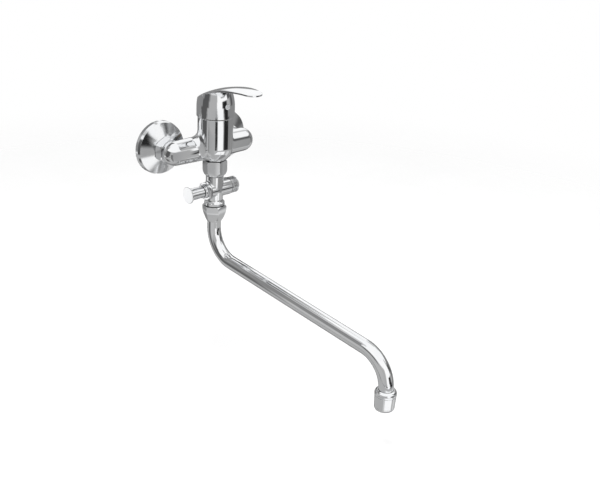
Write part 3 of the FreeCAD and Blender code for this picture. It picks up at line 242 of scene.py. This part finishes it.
# %% Turned brass
def turned_brass(name):
    material, nodes, links, shader = new_finish(name)
    shader.inputs["Metallic"].default_value = 1.0
    stains = speckle(nodes, links, 0.006, detail=4.0)
    links.new(two_tones(nodes, links, stains, (0.52, 0.33, 0.12), (0.80, 0.57, 0.27)),
              shader.inputs["Base Color"])
    links.new(spread(nodes, links, stains, 0.36, 0.20), shader.inputs["Roughness"])
    rings = speckle(nodes, links, 0.0009, detail=2.0, squash=(0.12, 1.0, 1.0))
    relief(nodes, links, shader, rings, 0.00002, 0.0002)
    return material


brass = turned_brass("brass")
print("made", brass.name)


# %% [markdown]
# The remaining finishes are all behind or inside the chrome and are seen when the tap is taken
# apart or looked at from below. The ceramic discs are sintered and ground, so they are smooth and
# only faintly clouded. The plastic pieces are moulded and have the fine grain of their mould.

# %% Ceramic and plastic
def ceramic_finish(name):
    material, nodes, links, shader = new_finish(name)
    grains = speckle(nodes, links, 0.0012, detail=3.0)
    links.new(two_tones(nodes, links, grains, (0.78, 0.76, 0.70), (0.88, 0.87, 0.83)),
              shader.inputs["Base Color"])
    links.new(spread(nodes, links, grains, 0.10, 0.22), shader.inputs["Roughness"])
    relief(nodes, links, shader, grains, 0.000004)
    return material


def moulded_plastic(name, dark, light, grain):
    """Plastic between two tones, with mould grains of this width."""
    material, nodes, links, shader = new_finish(name)
    clouds = speckle(nodes, links, 0.010, detail=2.0)
    links.new(two_tones(nodes, links, clouds, dark, light), shader.inputs["Base Color"])
    texture = speckle(nodes, links, grain, detail=2.0)
    links.new(spread(nodes, links, texture, 0.32, 0.48), shader.inputs["Roughness"])
    relief(nodes, links, shader, texture, 0.00001, 0.0002)
    return material


ceramic = ceramic_finish("ceramic")
white_plastic = moulded_plastic("white_plastic", (0.72, 0.72, 0.70), (0.82, 0.82, 0.80), 0.0006)
grey_plastic = moulded_plastic("grey_plastic", (0.10, 0.105, 0.11), (0.15, 0.155, 0.16), 0.0008)
mark_plastic = moulded_plastic("mark_plastic", (0.45, 0.46, 0.47), (0.58, 0.59, 0.60), 0.0004)
print("made", ", ".join(made.name for made in (ceramic, white_plastic, grey_plastic, mark_plastic)))


# %% [markdown]
# The seals are black rubber, dull and dusted with lime. The strainers, the pin and the small
# screws are stainless steel, brushed along one direction, so its speckle is stretched that way.

# %% Rubber and steel
def rubber_finish(name):
    material, nodes, links, shader = new_finish(name)
    dust = speckle(nodes, links, 0.003, detail=5.0)
    links.new(two_tones(nodes, links, dust, (0.012, 0.012, 0.013), (0.045, 0.045, 0.045)),
              shader.inputs["Base Color"])
    links.new(spread(nodes, links, dust, 0.55, 0.8), shader.inputs["Roughness"])
    relief(nodes, links, shader, speckle(nodes, links, 0.0005), 0.00002)
    return material


def steel_finish(name):
    material, nodes, links, shader = new_finish(name)
    shader.inputs["Metallic"].default_value = 1.0
    brushed = speckle(nodes, links, 0.0006, detail=3.0, squash=(1.0, 0.1, 1.0))
    links.new(two_tones(nodes, links, brushed, (0.50, 0.50, 0.49), (0.66, 0.66, 0.65)),
              shader.inputs["Base Color"])
    links.new(spread(nodes, links, brushed, 0.2, 0.34), shader.inputs["Roughness"])
    relief(nodes, links, shader, brushed, 0.00001, 0.0001)
    return material


rubber = rubber_finish("rubber")
steel = steel_finish("steel")
print("made", rubber.name, "and", steel.name)


# %% [markdown]
# Every solid came in with one plain material, named after its place in the record. Assigning by
# hand would mean 47 lines, so a table says which finish stands for which name, and a second, short
# one lists the pieces that have a finish of their own.

# %% Put the finishes on the solid model's pieces
FINISHES = {
    "chrome_cast": chrome_cast,
    "chrome_tube": chrome_tube,
    "brass": brass,
    "ceramic": ceramic,
    "white_plastic": white_plastic,
    "grey_plastic": grey_plastic,
    "mark_plastic": mark_plastic,
    "rubber": rubber,
    "steel": steel,
}
OWN_FINISHES = {
    "left_escutcheon": chrome_cover,
    "right_escutcheon": chrome_cover,
}
for name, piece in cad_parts.items():
    wanted = piece.material_slots[0].material.name.split(".")[0]
    piece.material_slots[0].material = OWN_FINISHES.get(name, FINISHES[wanted])
print("finished", len(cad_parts), "pieces")


# %% [markdown]
# Screw threads. The solid model gives each thread as a plain cylinder as wide as its crests. A bump
# would draw the ridges but leave the outline smooth, so the ridges are cut as real faces: a zigzag
# line along the axis is spun once round it while it moves on by one pitch, which makes each tooth
# end where the next one starts. The screw surface is cut off flat at both ends and eased into a
# plain circle there.

# %% A screw surface
PITCH = 0.00181      # a half-inch pipe thread has 14 turns to the inch
CREST = 0.01048
ROOT = 0.00945
TOOTH = ((0.0, CREST), (0.16, CREST), (0.50, ROOT), (0.66, ROOT))    # (part of a pitch, radius)
RUN_IN, RUN_OUT = 1.2 * PITCH, 0.7 * PITCH     # over which the ridges rise at the two ends
SPIN_STEPS = 64
WELD = 1e-6          # corners nearer than this are one corner


def screw_surface(axis, middle, first, last):
    """A threaded sleeve round the axis, between two places along it, as a bmesh."""
    side = Vector((0.0, 0.0, 1.0))
    teeth = int((last - first) / PITCH) + 4
    start = first - 2.0 * PITCH
    shape = bmesh.new()
    line = [shape.verts.new(middle + axis * (start + (turn + part) * PITCH) + side * radius)
            for turn in range(teeth) for part, radius in TOOTH]
    edges = [shape.edges.new(pair) for pair in zip(line, line[1:])]
    bmesh.ops.spin(shape, geom=line + edges, cent=middle, axis=axis, angle=2.0 * math.pi,
                   dvec=axis * (PITCH / SPIN_STEPS), steps=SPIN_STEPS, use_merge=False)
    bmesh.ops.remove_doubles(shape, verts=shape.verts[:], dist=WELD)
    for place, outwards in ((first, -1.0), (last, 1.0)):
        bmesh.ops.bisect_plane(shape, geom=shape.verts[:] + shape.edges[:] + shape.faces[:],
                               dist=1e-7, plane_co=middle + axis * place,
                               plane_no=axis * outwards, clear_outer=True)
    for vert in shape.verts:
        along = (vert.co - middle).dot(axis)
        foot = middle + axis * along
        out = vert.co - foot
        ease = min(1.0, (along - first) / RUN_IN, (last - along) / RUN_OUT)
        vert.co = foot + out.normalized() * (CREST + (out.length - CREST) * max(0.0, ease))
    return shape


print(f"thread of {PITCH * 1000.0:.2f} mm pitch, {(CREST - ROOT) * 1000.0:.2f} mm deep")


# %% [markdown]
# The thread goes into a copy of the solid, because the solid itself is never changed. The plain
# cylinder is taken out of the copy, the screw surface is put into the gap, and each of its rims is
# bridged to the rim that the cylinder left. A boolean could do this too, but it would cut the
# neighbouring faces into slivers.

# %% Swap the plain cylinder for the screw surface
SEAM = 0.00008       # the plain strip between the ridges and the rest of the piece
NEAR = 0.00003       # how far off a corner may be and still be on the cylinder


def take_out_crest(shape, axis, middle, first, last):
    """Deletes the plain cylinder between two places along the axis and counts its faces."""
    def on_crest(vert):
        along = (vert.co - middle).dot(axis)
        out = (vert.co - middle - axis * along).length
        return abs(out - CREST) < NEAR and first - NEAR < along < last + NEAR

    plain = [face for face in shape.faces if all(on_crest(vert) for vert in face.verts)]
    bmesh.ops.delete(shape, geom=plain, context="FACES")
    return len(plain)


def put_in_screw(shape, axis, middle, first, last):
    """Joins a threaded sleeve into the gap and bridges both its rims to the piece."""
    sleeve = screw_surface(axis, middle, first + SEAM, last - SEAM)
    holder = bpy.data.meshes.new("sleeve")
    sleeve.to_mesh(holder)
    sleeve.free()
    shape.from_mesh(holder)
    bpy.data.meshes.remove(holder)
    for place in (first, last):
        rims = [edge for edge in shape.edges if edge.is_boundary
                and all(abs((vert.co - middle).dot(axis) - place) < 2.0 * SEAM
                        for vert in edge.verts)]
        bmesh.ops.bridge_loops(shape, edges=rims)


print("seams of", SEAM * 1000.0, "mm at both ends of a thread")


# %% [markdown]
# The joined copy needs care with its shading. The solid model's corners carry exact normals, which
# merging would lose, so they are noted first and given back to every face that was kept. The new
# faces get the mean normal of their neighbours on the same ridge.

# %% Normals for the joined copy
RIDGE_ANGLE = math.radians(25.0)     # faces that meet at less than this shade as one surface


def key(place):
    """A place rounded to a thousandth of a millimetre, to find it again."""
    return tuple(round(value * 1e6) for value in place)


def noted_normals(mesh):
    """The solid's own corner normals: {middle of a face: {corner: normal}}."""
    notes = {}
    for face in mesh.polygons:
        corners = {}
        for loop in face.loop_indices:
            corner = mesh.vertices[mesh.loops[loop].vertex_index].co
            corners[key(corner)] = Vector(mesh.corner_normals[loop].vector)
        notes[key(face.center)] = corners
    return notes


def corner_normals(shape, notes):
    """One normal for every corner: the noted one, or the mean over the same ridge."""
    normals = []
    for face in shape.faces:
        kept = notes.get(key(face.calc_center_median()))
        for loop in face.loops:
            if kept and key(loop.vert.co) in kept:
                normals.append(kept[key(loop.vert.co)])
                continue
            total = Vector()
            for other in loop.vert.link_faces:
                if other.normal.angle(face.normal, math.pi) < RIDGE_ANGLE:
                    total += other.normal * other.calc_area()
            normals.append(total.normalized() if total.length > 0.0 else face.normal.copy())
    return normals


print("ridges shade smooth below", round(math.degrees(RIDGE_ANGLE)), "degrees")


# %% [markdown]
# Three threads can be seen: the hose outlet, and from behind the two unions that screw into the
# wall. Each copy stands for its solid, rides on the same body and keeps the same finish.

# %% Thread the hose outlet and the wall unions
ACROSS = Vector((1.0, 0.0, 0.0))
INTO_WALL = Vector((0.0, 1.0, 0.0))
DIVERTER = COLUMN + Vector((0.0, 0.0, -0.0515))
LEFT_INLET = Vector((-0.050, 0.0, 0.0))
RIGHT_INLET = Vector((0.050, 0.0, 0.0))
OUTLET_THREAD = (0.0220, 0.0318)     # from where to where along the axis, in metres
UNION_THREAD = (0.0015, 0.0140)


def cut_thread(node, name, finish, axis, middle, thread):
    """Replaces a solid by a copy with a screw thread cut between two places."""
    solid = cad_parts[node].data
    notes = noted_normals(solid)
    shape = bmesh.new()
    shape.from_mesh(solid)
    bmesh.ops.remove_doubles(shape, verts=shape.verts[:], dist=WELD)
    plain = take_out_crest(shape, axis, middle, *thread)
    put_in_screw(shape, axis, middle, *thread)
    fresh = [face for face in shape.faces if key(face.calc_center_median()) not in notes]
    bmesh.ops.recalc_face_normals(shape, faces=shape.faces[:])
    bmesh.ops.triangulate(shape, faces=fresh)
    shape.normal_update()
    for face in shape.faces:
        face.smooth = True
    normals = corner_normals(shape, notes)
    open_edges = sum(1 for edge in shape.edges if not edge.is_manifold)
    mesh = bpy.data.meshes.new(name)
    shape.to_mesh(mesh)
    shape.free()
    mesh.normals_split_custom_set(normals)
    piece = bpy.data.objects.new(name, mesh)
    bpy.context.scene.collection.objects.link(piece)
    mesh.materials.append(finish)
    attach(piece, "fixed")
    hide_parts(node)
    print(f"{name}: {plain} plain faces out, {len(mesh.polygons)} faces, {open_edges} open edges")


cut_thread("diverter_body", "threaded_diverter_body", chrome_cast,
           ACROSS, DIVERTER, OUTLET_THREAD)
cut_thread("left_wall_union", "threaded_left_union", brass,
           INTO_WALL, LEFT_INLET, UNION_THREAD)
cut_thread("right_wall_union", "threaded_right_union", brass,
           INTO_WALL, RIGHT_INLET, UNION_THREAD)


# %% [markdown]
# The studio. Chrome has no colour of its own: what it shows is the room. The floor is a plain pale
# sheet below the tap, which catches its shadow. A sheet that ended somewhere would show its edge
# from the side, so it melts into the white of the world further out. It is also lifted a little
# towards white for the camera, which leaves the light on the tap as it is.

# %% Floor
FLOOR = -0.262
FLOOR_REACH = 3.0
FLOOR_LIFT = 0.10
MELT_MIDDLE = (0.0, -0.15, FLOOR)
MELT_START, MELT_END = 0.45, 1.30      # metres from there


def plain_mesh(name, shape, finish):
    """An object in the scene from a finished bmesh, with one material."""
    mesh = bpy.data.meshes.new(name)
    shape.to_mesh(mesh)
    shape.free()
    made = bpy.data.objects.new(name, mesh)
    bpy.context.scene.collection.objects.link(made)
    made.data.materials.append(finish)
    return made


def floor_finish():
    """Pale paper, lifted to white for the camera, that melts into the white world further out."""
    material, nodes, links, shader = new_finish("studio_floor")
    shader.inputs["Roughness"].default_value = 0.9
    shader.inputs["Specular IOR Level"].default_value = 0.0
    fibres = speckle(nodes, links, 0.15)
    links.new(two_tones(nodes, links, fibres, (0.80, 0.80, 0.80), (0.82, 0.82, 0.82)),
              shader.inputs["Base Color"])
    rays = nodes.new("ShaderNodeLightPath")
    lift = nodes.new("ShaderNodeMath")
    lift.operation = "MULTIPLY"
    lift.inputs[1].default_value = FLOOR_LIFT
    glow = nodes.new("ShaderNodeEmission")
    glow.inputs["Color"].default_value = (1.0, 1.0, 1.0, 1.0)
    both = nodes.new("ShaderNodeAddShader")
    links.new(rays.outputs["Is Camera Ray"], lift.inputs[0])
    links.new(lift.outputs["Value"], glow.inputs["Strength"])
    links.new(shader.outputs["BSDF"], both.inputs[0])
    links.new(glow.outputs["Emission"], both.inputs[1])
    place = nodes.new("ShaderNodeTexCoord")
    distance = nodes.new("ShaderNodeVectorMath")
    distance.operation = "DISTANCE"
    distance.inputs[1].default_value = MELT_MIDDLE
    melt = nodes.new("ShaderNodeMapRange")
    melt.interpolation_type = "SMOOTHSTEP"
    melt.inputs["From Min"].default_value = MELT_START
    melt.inputs["From Max"].default_value = MELT_END
    clear = nodes.new("ShaderNodeBsdfTransparent")
    paper = nodes.new("ShaderNodeMixShader")
    links.new(place.outputs["Object"], distance.inputs[0])
    links.new(distance.outputs["Value"], melt.inputs["Value"])
    links.new(melt.outputs["Result"], paper.inputs["Fac"])
    links.new(both.outputs["Shader"], paper.inputs[1])
    links.new(clear.outputs["BSDF"], paper.inputs[2])
    links.new(paper.outputs["Shader"], nodes["Material Output"].inputs["Surface"])
    return material


sheet = bmesh.new()
bmesh.ops.create_grid(sheet, x_segments=1, y_segments=1, size=FLOOR_REACH,
                      matrix=Matrix.Translation((0.0, 0.0, FLOOR)))
floor = plain_mesh("studio_floor", sheet, floor_finish())
floor.visible_glossy = False
print("floor at", FLOOR, "m, clear from", MELT_END, "m on")


# %% [markdown]
# The world is white where it is seen, by the camera, in a mirror or through glass. It lights the
# matt surfaces with only half of that, so that the pale ones keep their own tone.

# %% World
SEEN_SKY = 1.0
LIGHTING_SKY = 0.55

world = bpy.data.worlds.new("studio_world")
bpy.context.scene.world = world
world.use_nodes = True
air = world.node_tree.nodes
wires = world.node_tree.links
rays = air.new("ShaderNodeLightPath")
camera_or_mirror = air.new("ShaderNodeMath")
camera_or_mirror.operation = "MAXIMUM"
or_glass = air.new("ShaderNodeMath")
or_glass.operation = "MAXIMUM"
level = air.new("ShaderNodeMapRange")
level.inputs["To Min"].default_value = LIGHTING_SKY
level.inputs["To Max"].default_value = SEEN_SKY
wires.new(rays.outputs["Is Camera Ray"], camera_or_mirror.inputs[0])
wires.new(rays.outputs["Is Glossy Ray"], camera_or_mirror.inputs[1])
wires.new(camera_or_mirror.outputs["Value"], or_glass.inputs[0])
wires.new(rays.outputs["Is Transmission Ray"], or_glass.inputs[1])
wires.new(or_glass.outputs["Value"], level.inputs["Value"])
air["Background"].inputs["Color"].default_value = (1.0, 1.0, 1.0, 1.0)
wires.new(level.outputs["Result"], air["Background"].inputs["Strength"])
print("world seen at", SEEN_SKY, "and lighting at", LIGHTING_SKY)


# %% [markdown]
# The light tent. A photographer hangs cloth round a shiny thing so that it mirrors something calm:
# white above, grey at the sides, one bright window and a few dark flags for contrast. Here the tent
# is one large round shell that only reflections see. It is made of strips, one above the other,
# because an upright surface seen from above mirrors only one narrow strip, and the higher parts of
# the tap mirror the higher strips. Six cloths are enough. Each strip is a wall of one of them, with
# a few pieces of the others hung before it. Their places are given as angles round the tap, in
# degrees to the right of the camera's side: an upright round surface shows the cloth at angle 2a
# where its own normal stands a away from the camera.

# %% Cloths for the tent
BLACK, DARK, DIM, GREY, PALE, WHITE = 0.02, 0.10, 0.26, 0.45, 0.65, 1.05
SOFT_EDGE = 2.0      # degrees over which one cloth fades into the next, each way


def hung(wall, *pieces):
    """Greys round one strip: a wall of one cloth, with pieces (from, to, cloth) hung before it."""
    spans, reached = [], -180.0
    for start, end, cloth in pieces:
        if start > reached:
            spans.append((start, wall))
        spans.append((end, cloth))
        reached = end
    if reached < 180.0:
        spans.append((180.0, wall))
    shades = [(-180.0, spans[0][1])]
    for (edge, before), (_, after) in zip(spans, spans[1:]):
        shades += [(edge - SOFT_EDGE, before), (edge + SOFT_EDGE, after)]
    return shades + [(180.0, spans[-1][1])]


print("six cloths, from", BLACK, "to", WHITE)


# %% [markdown]
# What hangs where. From the camera's height, the lowest strips are mirrored by the spout, the
# narrow ones in the middle by the body, the neck, the column and the cap, and the high ones by the
# tops of the arms and the lever. The window stands at the right of the camera, with a black flag on
# its right side, and on the column with a narrow one on its left side too.

# %% The strips
# each strip: where it takes over from the strip below, as two height angles, and what hangs there
STRIPS = (
    (None, hung(GREY, (-180, -130, DIM), (60, 105, DIM), (150, 180, DIM))),
    ((-47.0, -43.0), hung(GREY, (-180, -145, DIM), (-22, -6, PALE), (-6, 72, WHITE),
                          (88, 115, PALE), (155, 180, DIM))),
    ((-27.0, -24.5), hung(GREY, (-180, -130, DIM), (-96, -64, DARK), (145, 180, DIM))),
    ((-21.9, -21.5), hung(DIM, (-107, -82, WHITE), (-82, -42, DARK), (-24, 64, GREY))),
    ((-20.8, -20.2), hung(DIM, (-107, -84, WHITE), (-84, -36, BLACK), (-18, 14, PALE),
                          (14, 44, WHITE))),
    ((-18.8, -18.4), hung(DIM, (-180, -110, DARK), (-103, -88, PALE), (-88, -54, DARK),
                          (-54, 2, GREY), (2, 18, BLACK), (18, 56, WHITE), (62, 94, BLACK))),
    ((-15.9, -15.5), hung(DIM, (-92, -50, DARK), (-46, 13, GREY), (13, 50, WHITE),
                          (55, 82, BLACK))),
    ((-11.0, -7.0), hung(DIM, (-82, -41, DARK), (-36, 11, GREY), (11, 43, WHITE),
                         (45, 73, BLACK), (75, 98, GREY), (106, 123, DARK))),
    ((6.0, 9.0), hung(DIM, (-180, -171, WHITE), (-152, -92, GREY), (-75, -40, DARK),
                      (-32, 13, GREY), (13, 81, WHITE), (81, 108, DARK), (161, 180, WHITE))),
    ((23.0, 30.0), hung(WHITE, (-164, -80, DIM), (76, 90, GREY), (128, 160, PALE))),
    ((42.0, 46.0), hung(WHITE, (-172, -107, DARK), (-107, -74, PALE), (140, 168, PALE))),
    ((53.0, 59.0), hung(WHITE)),
)
print("tent of", len(STRIPS), "strips")


# %% [markdown]
# The strips are painted on the shell by its material. Two angles are worked out from the place of
# each point, the one round the tap and the height angle. A colour ramp on the first makes one
# strip, and a soft step on the second joins it to the strip below.

# %% Paint the strips on the shell
TENT_TURN = math.radians(-3.0)      # the last small turn that sets the stripes on the column
camera_side = math.atan2(eye.y - COLUMN.y, eye.x - COLUMN.x)


def tent_angles(nodes, links):
    """Two sockets: the angle round the tap as part of a turn, and the sine of the height angle."""
    place = nodes.new("ShaderNodeTexCoord")
    centred = nodes.new("ShaderNodeMapping")
    centred.vector_type = "TEXTURE"
    centred.inputs["Location"].default_value = COLUMN
    centred.inputs["Rotation"].default_value = (0.0, 0.0, camera_side + TENT_TURN)
    axes = nodes.new("ShaderNodeSeparateXYZ")
    links.new(place.outputs["Object"], centred.inputs["Vector"])
    links.new(centred.outputs["Vector"], axes.inputs["Vector"])
    round_it = nodes.new("ShaderNodeMath")
    round_it.operation = "ARCTAN2"
    links.new(axes.outputs["Y"], round_it.inputs[0])
    links.new(axes.outputs["X"], round_it.inputs[1])
    turn = nodes.new("ShaderNodeMapRange")
    turn.inputs["From Min"].default_value = -math.pi
    turn.inputs["From Max"].default_value = math.pi
    links.new(round_it.outputs["Value"], turn.inputs["Value"])
    length = nodes.new("ShaderNodeVectorMath")
    length.operation = "LENGTH"
    links.new(centred.outputs["Vector"], length.inputs[0])
    sine = nodes.new("ShaderNodeMath")
    sine.operation = "DIVIDE"
    links.new(axes.outputs["Z"], sine.inputs[0])
    links.new(length.outputs["Value"], sine.inputs[1])
    return turn.outputs["Result"], sine.outputs["Value"]


def tent_finish():
    material, nodes, links, shader = new_finish("tent_cloth")
    nodes.remove(shader)
    turn, sine = tent_angles(nodes, links)

    def cloth(shades):
        band = nodes.new("ShaderNodeValToRGB")
        stops = band.color_ramp.elements
        stops[0].position = 0.0
        stops[1].position = 1.0
        for angle, shade in shades[1:-1]:
            stops.new((angle + 180.0) / 360.0)
        for stop, (angle, shade) in zip(stops, shades):
            stop.color = (shade, shade, shade, 1.0)
        links.new(turn, band.inputs["Fac"])
        return band.outputs["Color"]

    def joined(lower, upper, first, last):
        """The lower cloth up to one height angle, in degrees, the upper one from the other."""
        share = nodes.new("ShaderNodeMapRange")
        share.interpolation_type = "SMOOTHSTEP"
        share.inputs["From Min"].default_value = math.sin(math.radians(first))
        share.inputs["From Max"].default_value = math.sin(math.radians(last))
        links.new(sine, share.inputs["Value"])
        seam = nodes.new("ShaderNodeMix")
        seam.data_type = "RGBA"
        links.new(share.outputs["Result"], seam.inputs["Factor"])
        links.new(lower, seam.inputs["A"])
        links.new(upper, seam.inputs["B"])
        return seam.outputs["Result"]

    walls = cloth(STRIPS[0][1])
    for heights, shades in STRIPS[1:]:
        walls = joined(walls, cloth(shades), *heights)
    glow = nodes.new("ShaderNodeEmission")
    links.new(walls, glow.inputs["Color"])
    links.new(glow.outputs["Emission"], nodes["Material Output"].inputs["Surface"])
    return material


print("camera's side at", round(math.degrees(camera_side), 1), "degrees")


# %% [markdown]
# The shell stands round the column, so far away that every piece sees it alike. The camera, the
# lamps and the matt surfaces don't see it.

# %% Hang the tent
TENT_RADIUS = 30.0


def reflection_only(made):
    """Hides a stage piece from everything but mirrors."""
    made.visible_camera = False
    made.visible_diffuse = False
    made.visible_shadow = False
    made.visible_transmission = False


shell = bmesh.new()
bmesh.ops.create_uvsphere(shell, u_segments=48, v_segments=24, radius=TENT_RADIUS,
                          matrix=Matrix.Translation(COLUMN))
reflection_only(plain_mesh("light_tent", shell, tent_finish()))
print("tent of", TENT_RADIUS, "m radius")


# %% [markdown]
# Near cards. The tent is far away, so all surfaces of one slope mirror the same part of it, and the
# arms would show the column's dark stripes. In the photograph they are an even grey below and white
# above. A photographer holds a card close to such a place, which hides the tent from it alone. A
# card's edges fade, because a hard one would draw a line in the chrome.

# %% Soft edges for the cards
def fading_edge(nodes, links, values, soft):
    """How solid the card is: 1 inside, 0 at its edges, from pairs of (socket, lowest, highest)."""
    nearest = None
    for source, low, high in values:
        for factor, edge in ((1.0, -low), (-1.0, high)):
            gap = nodes.new("ShaderNodeMath")
            gap.operation = "MULTIPLY_ADD"
            gap.inputs[1].default_value = factor
            gap.inputs[2].default_value = edge
            links.new(source, gap.inputs[0])
            if nearest:
                least = nodes.new("ShaderNodeMath")
                least.operation = "MINIMUM"
                links.new(nearest, least.inputs[0])
                links.new(gap.outputs["Value"], least.inputs[1])
                nearest = least.outputs["Value"]
            else:
                nearest = gap.outputs["Value"]
    fade = nodes.new("ShaderNodeMapRange")
    fade.interpolation_type = "SMOOTHSTEP"
    fade.inputs["From Max"].default_value = soft
    links.new(nearest, fade.inputs["Value"])
    return fade.outputs["Result"]


print("made the helper for soft edges")


# %% [markdown]
# A card is one upright face with a glow that runs from one grey to another along it. It shows on
# one side only, so that the pieces behind it look through it at the tent.

# %% One card
def card_finish(name, start, end, low, high, shades, soft):
    """The glow of a card that runs along x or y, clear at its edges and from behind."""
    material, nodes, links, shader = new_finish(name)
    nodes.remove(shader)
    along_x = abs(end[0] - start[0]) > abs(end[1] - start[1])
    first, last = (start[0], end[0]) if along_x else (start[1], end[1])
    place = nodes.new("ShaderNodeTexCoord")
    axes = nodes.new("ShaderNodeSeparateXYZ")
    run = axes.outputs["X" if along_x else "Y"]
    along = nodes.new("ShaderNodeMapRange")
    along.inputs["From Min"].default_value = first
    along.inputs["From Max"].default_value = last
    greys = nodes.new("ShaderNodeValToRGB")
    stops = greys.color_ramp.elements
    stops[0].position, stops[1].position = shades[0][0], shades[-1][0]
    for part, shade in shades[1:-1]:
        stops.new(part)
    for stop, (part, shade) in zip(stops, shades):
        stop.color = (shade, shade, shade, 1.0)
    glow = nodes.new("ShaderNodeEmission")
    links.new(place.outputs["Object"], axes.inputs["Vector"])
    links.new(run, along.inputs["Value"])
    links.new(along.outputs["Result"], greys.inputs["Fac"])
    links.new(greys.outputs["Color"], glow.inputs["Color"])
    solid = fading_edge(nodes, links, (
        (run, min(first, last), max(first, last)), (axes.outputs["Z"], low, high)), soft)
    side = nodes.new("ShaderNodeNewGeometry")
    facing = nodes.new("ShaderNodeMath")
    facing.operation = "SUBTRACT"
    facing.use_clamp = True
    links.new(solid, facing.inputs[0])
    links.new(side.outputs["Backfacing"], facing.inputs[1])
    clear = nodes.new("ShaderNodeBsdfTransparent")
    seen = nodes.new("ShaderNodeMixShader")
    links.new(facing.outputs["Value"], seen.inputs["Fac"])
    links.new(clear.outputs["BSDF"], seen.inputs[1])
    links.new(glow.outputs["Emission"], seen.inputs[2])
    links.new(seen.outputs["Shader"], nodes["Material Output"].inputs["Surface"])
    return material


def card(name, start, end, low, high, shades, soft=0.010):
    """An upright card from start to end, two (x, y) places; shades run along it, from 0 to 1.

    It shows on the right hand of someone who walks from start to end.
    """
    shape = bmesh.new()
    corners = [shape.verts.new((x, y, z)) for x, y, z in (
        (*start, low), (*end, low), (*end, high), (*start, high))]
    shape.faces.new(corners)
    finish = card_finish(name, start, end, low, high, shades, soft)
    reflection_only(plain_mesh(name, shape, finish))
    print(f"{name}: from {start} to {end}, {low} to {high} m high")


# %% [markdown]
# The two arm cards stand just in front of the arms and leave the column a free view between them,
# and the elbow card goes on to the left round the bend. Three black flags darken what the
# photograph shows dark: the hose outlet, the wall cover's right upper part and the top of the tube.
# The last card, left of the spout and too low for the column to see, greys the tube.

# %% Hang the cards
ONE_BLACK = ((0.0, BLACK), (1.0, BLACK))
card("arm_card_left", (-0.017, -0.075), (-0.098, -0.075), -0.044, 0.026,
     ((0.0, 0.43), (1.0, 0.36)))
card("elbow_card", (-0.088, -0.075), (-0.150, -0.075), -0.095, 0.012,
     ((0.0, 0.20), (1.0, 0.15)))
card("arm_card_right", (0.125, -0.075), (0.022, -0.075), -0.050, 0.018,
     ((0.0, 0.28), (1.0, 0.36)))
card("diverter_flag", (0.010, -0.018), (0.105, -0.018), -0.047, -0.024, ONE_BLACK, soft=0.003)
card("cover_flag", (-0.0625, -0.034), (-0.092, -0.034), -0.002, 0.034, ONE_BLACK)
card("tube_flag", (0.115, 0.06), (0.235, 0.06), -0.19, -0.05, ONE_BLACK, soft=0.02)
card("tube_card", (-0.20, -0.55), (-0.20, 0.15), -0.27, -0.11,
     ((0.0, GREY), (0.70, 0.54), (0.82, 0.15), (1.0, DARK)), soft=0.02)


# %% [markdown]
# The lamps are three large soft squares, one high at the left, one at the right and one
# above. They light what isn't metal and cast the soft shadow on the floor. Chrome doesn't mirror
# them: they would burn white squares into it, where the photograph shows the even cloth.

# %% Lamps
def soft_lamp(name, spot, aim, size, watts):
    """A square lamp at spot that shines towards aim, unseen by mirrors."""
    lamp = bpy.data.lights.new(name, "AREA")
    lamp.shape = "SQUARE"
    lamp.size = size
    lamp.energy = watts
    holder = bpy.data.objects.new(name, lamp)
    bpy.context.scene.collection.objects.link(holder)
    holder.visible_glossy = False
    holder.location = spot
    holder.rotation_euler = (Vector(aim) - Vector(spot)).to_track_quat("-Z", "Y").to_euler()
    print(name, watts, "W")


soft_lamp("lamp_left", (-1.3, -0.6, 1.1), (0.0, -0.05, 0.0), 0.9, 16.0)
soft_lamp("lamp_right", (1.1, -1.3, 0.9), (0.0, -0.05, 0.0), 0.9, 10.0)
soft_lamp("lamp_top", (0.0, 0.1, 1.6), (0.0, -0.1, 0.0), 1.0, 14.0)


# %% [markdown]
# The last cell. The Standard view shows each colour about as it is written.

# %% Set the view transform
bpy.context.scene.view_settings.view_transform = "Standard"
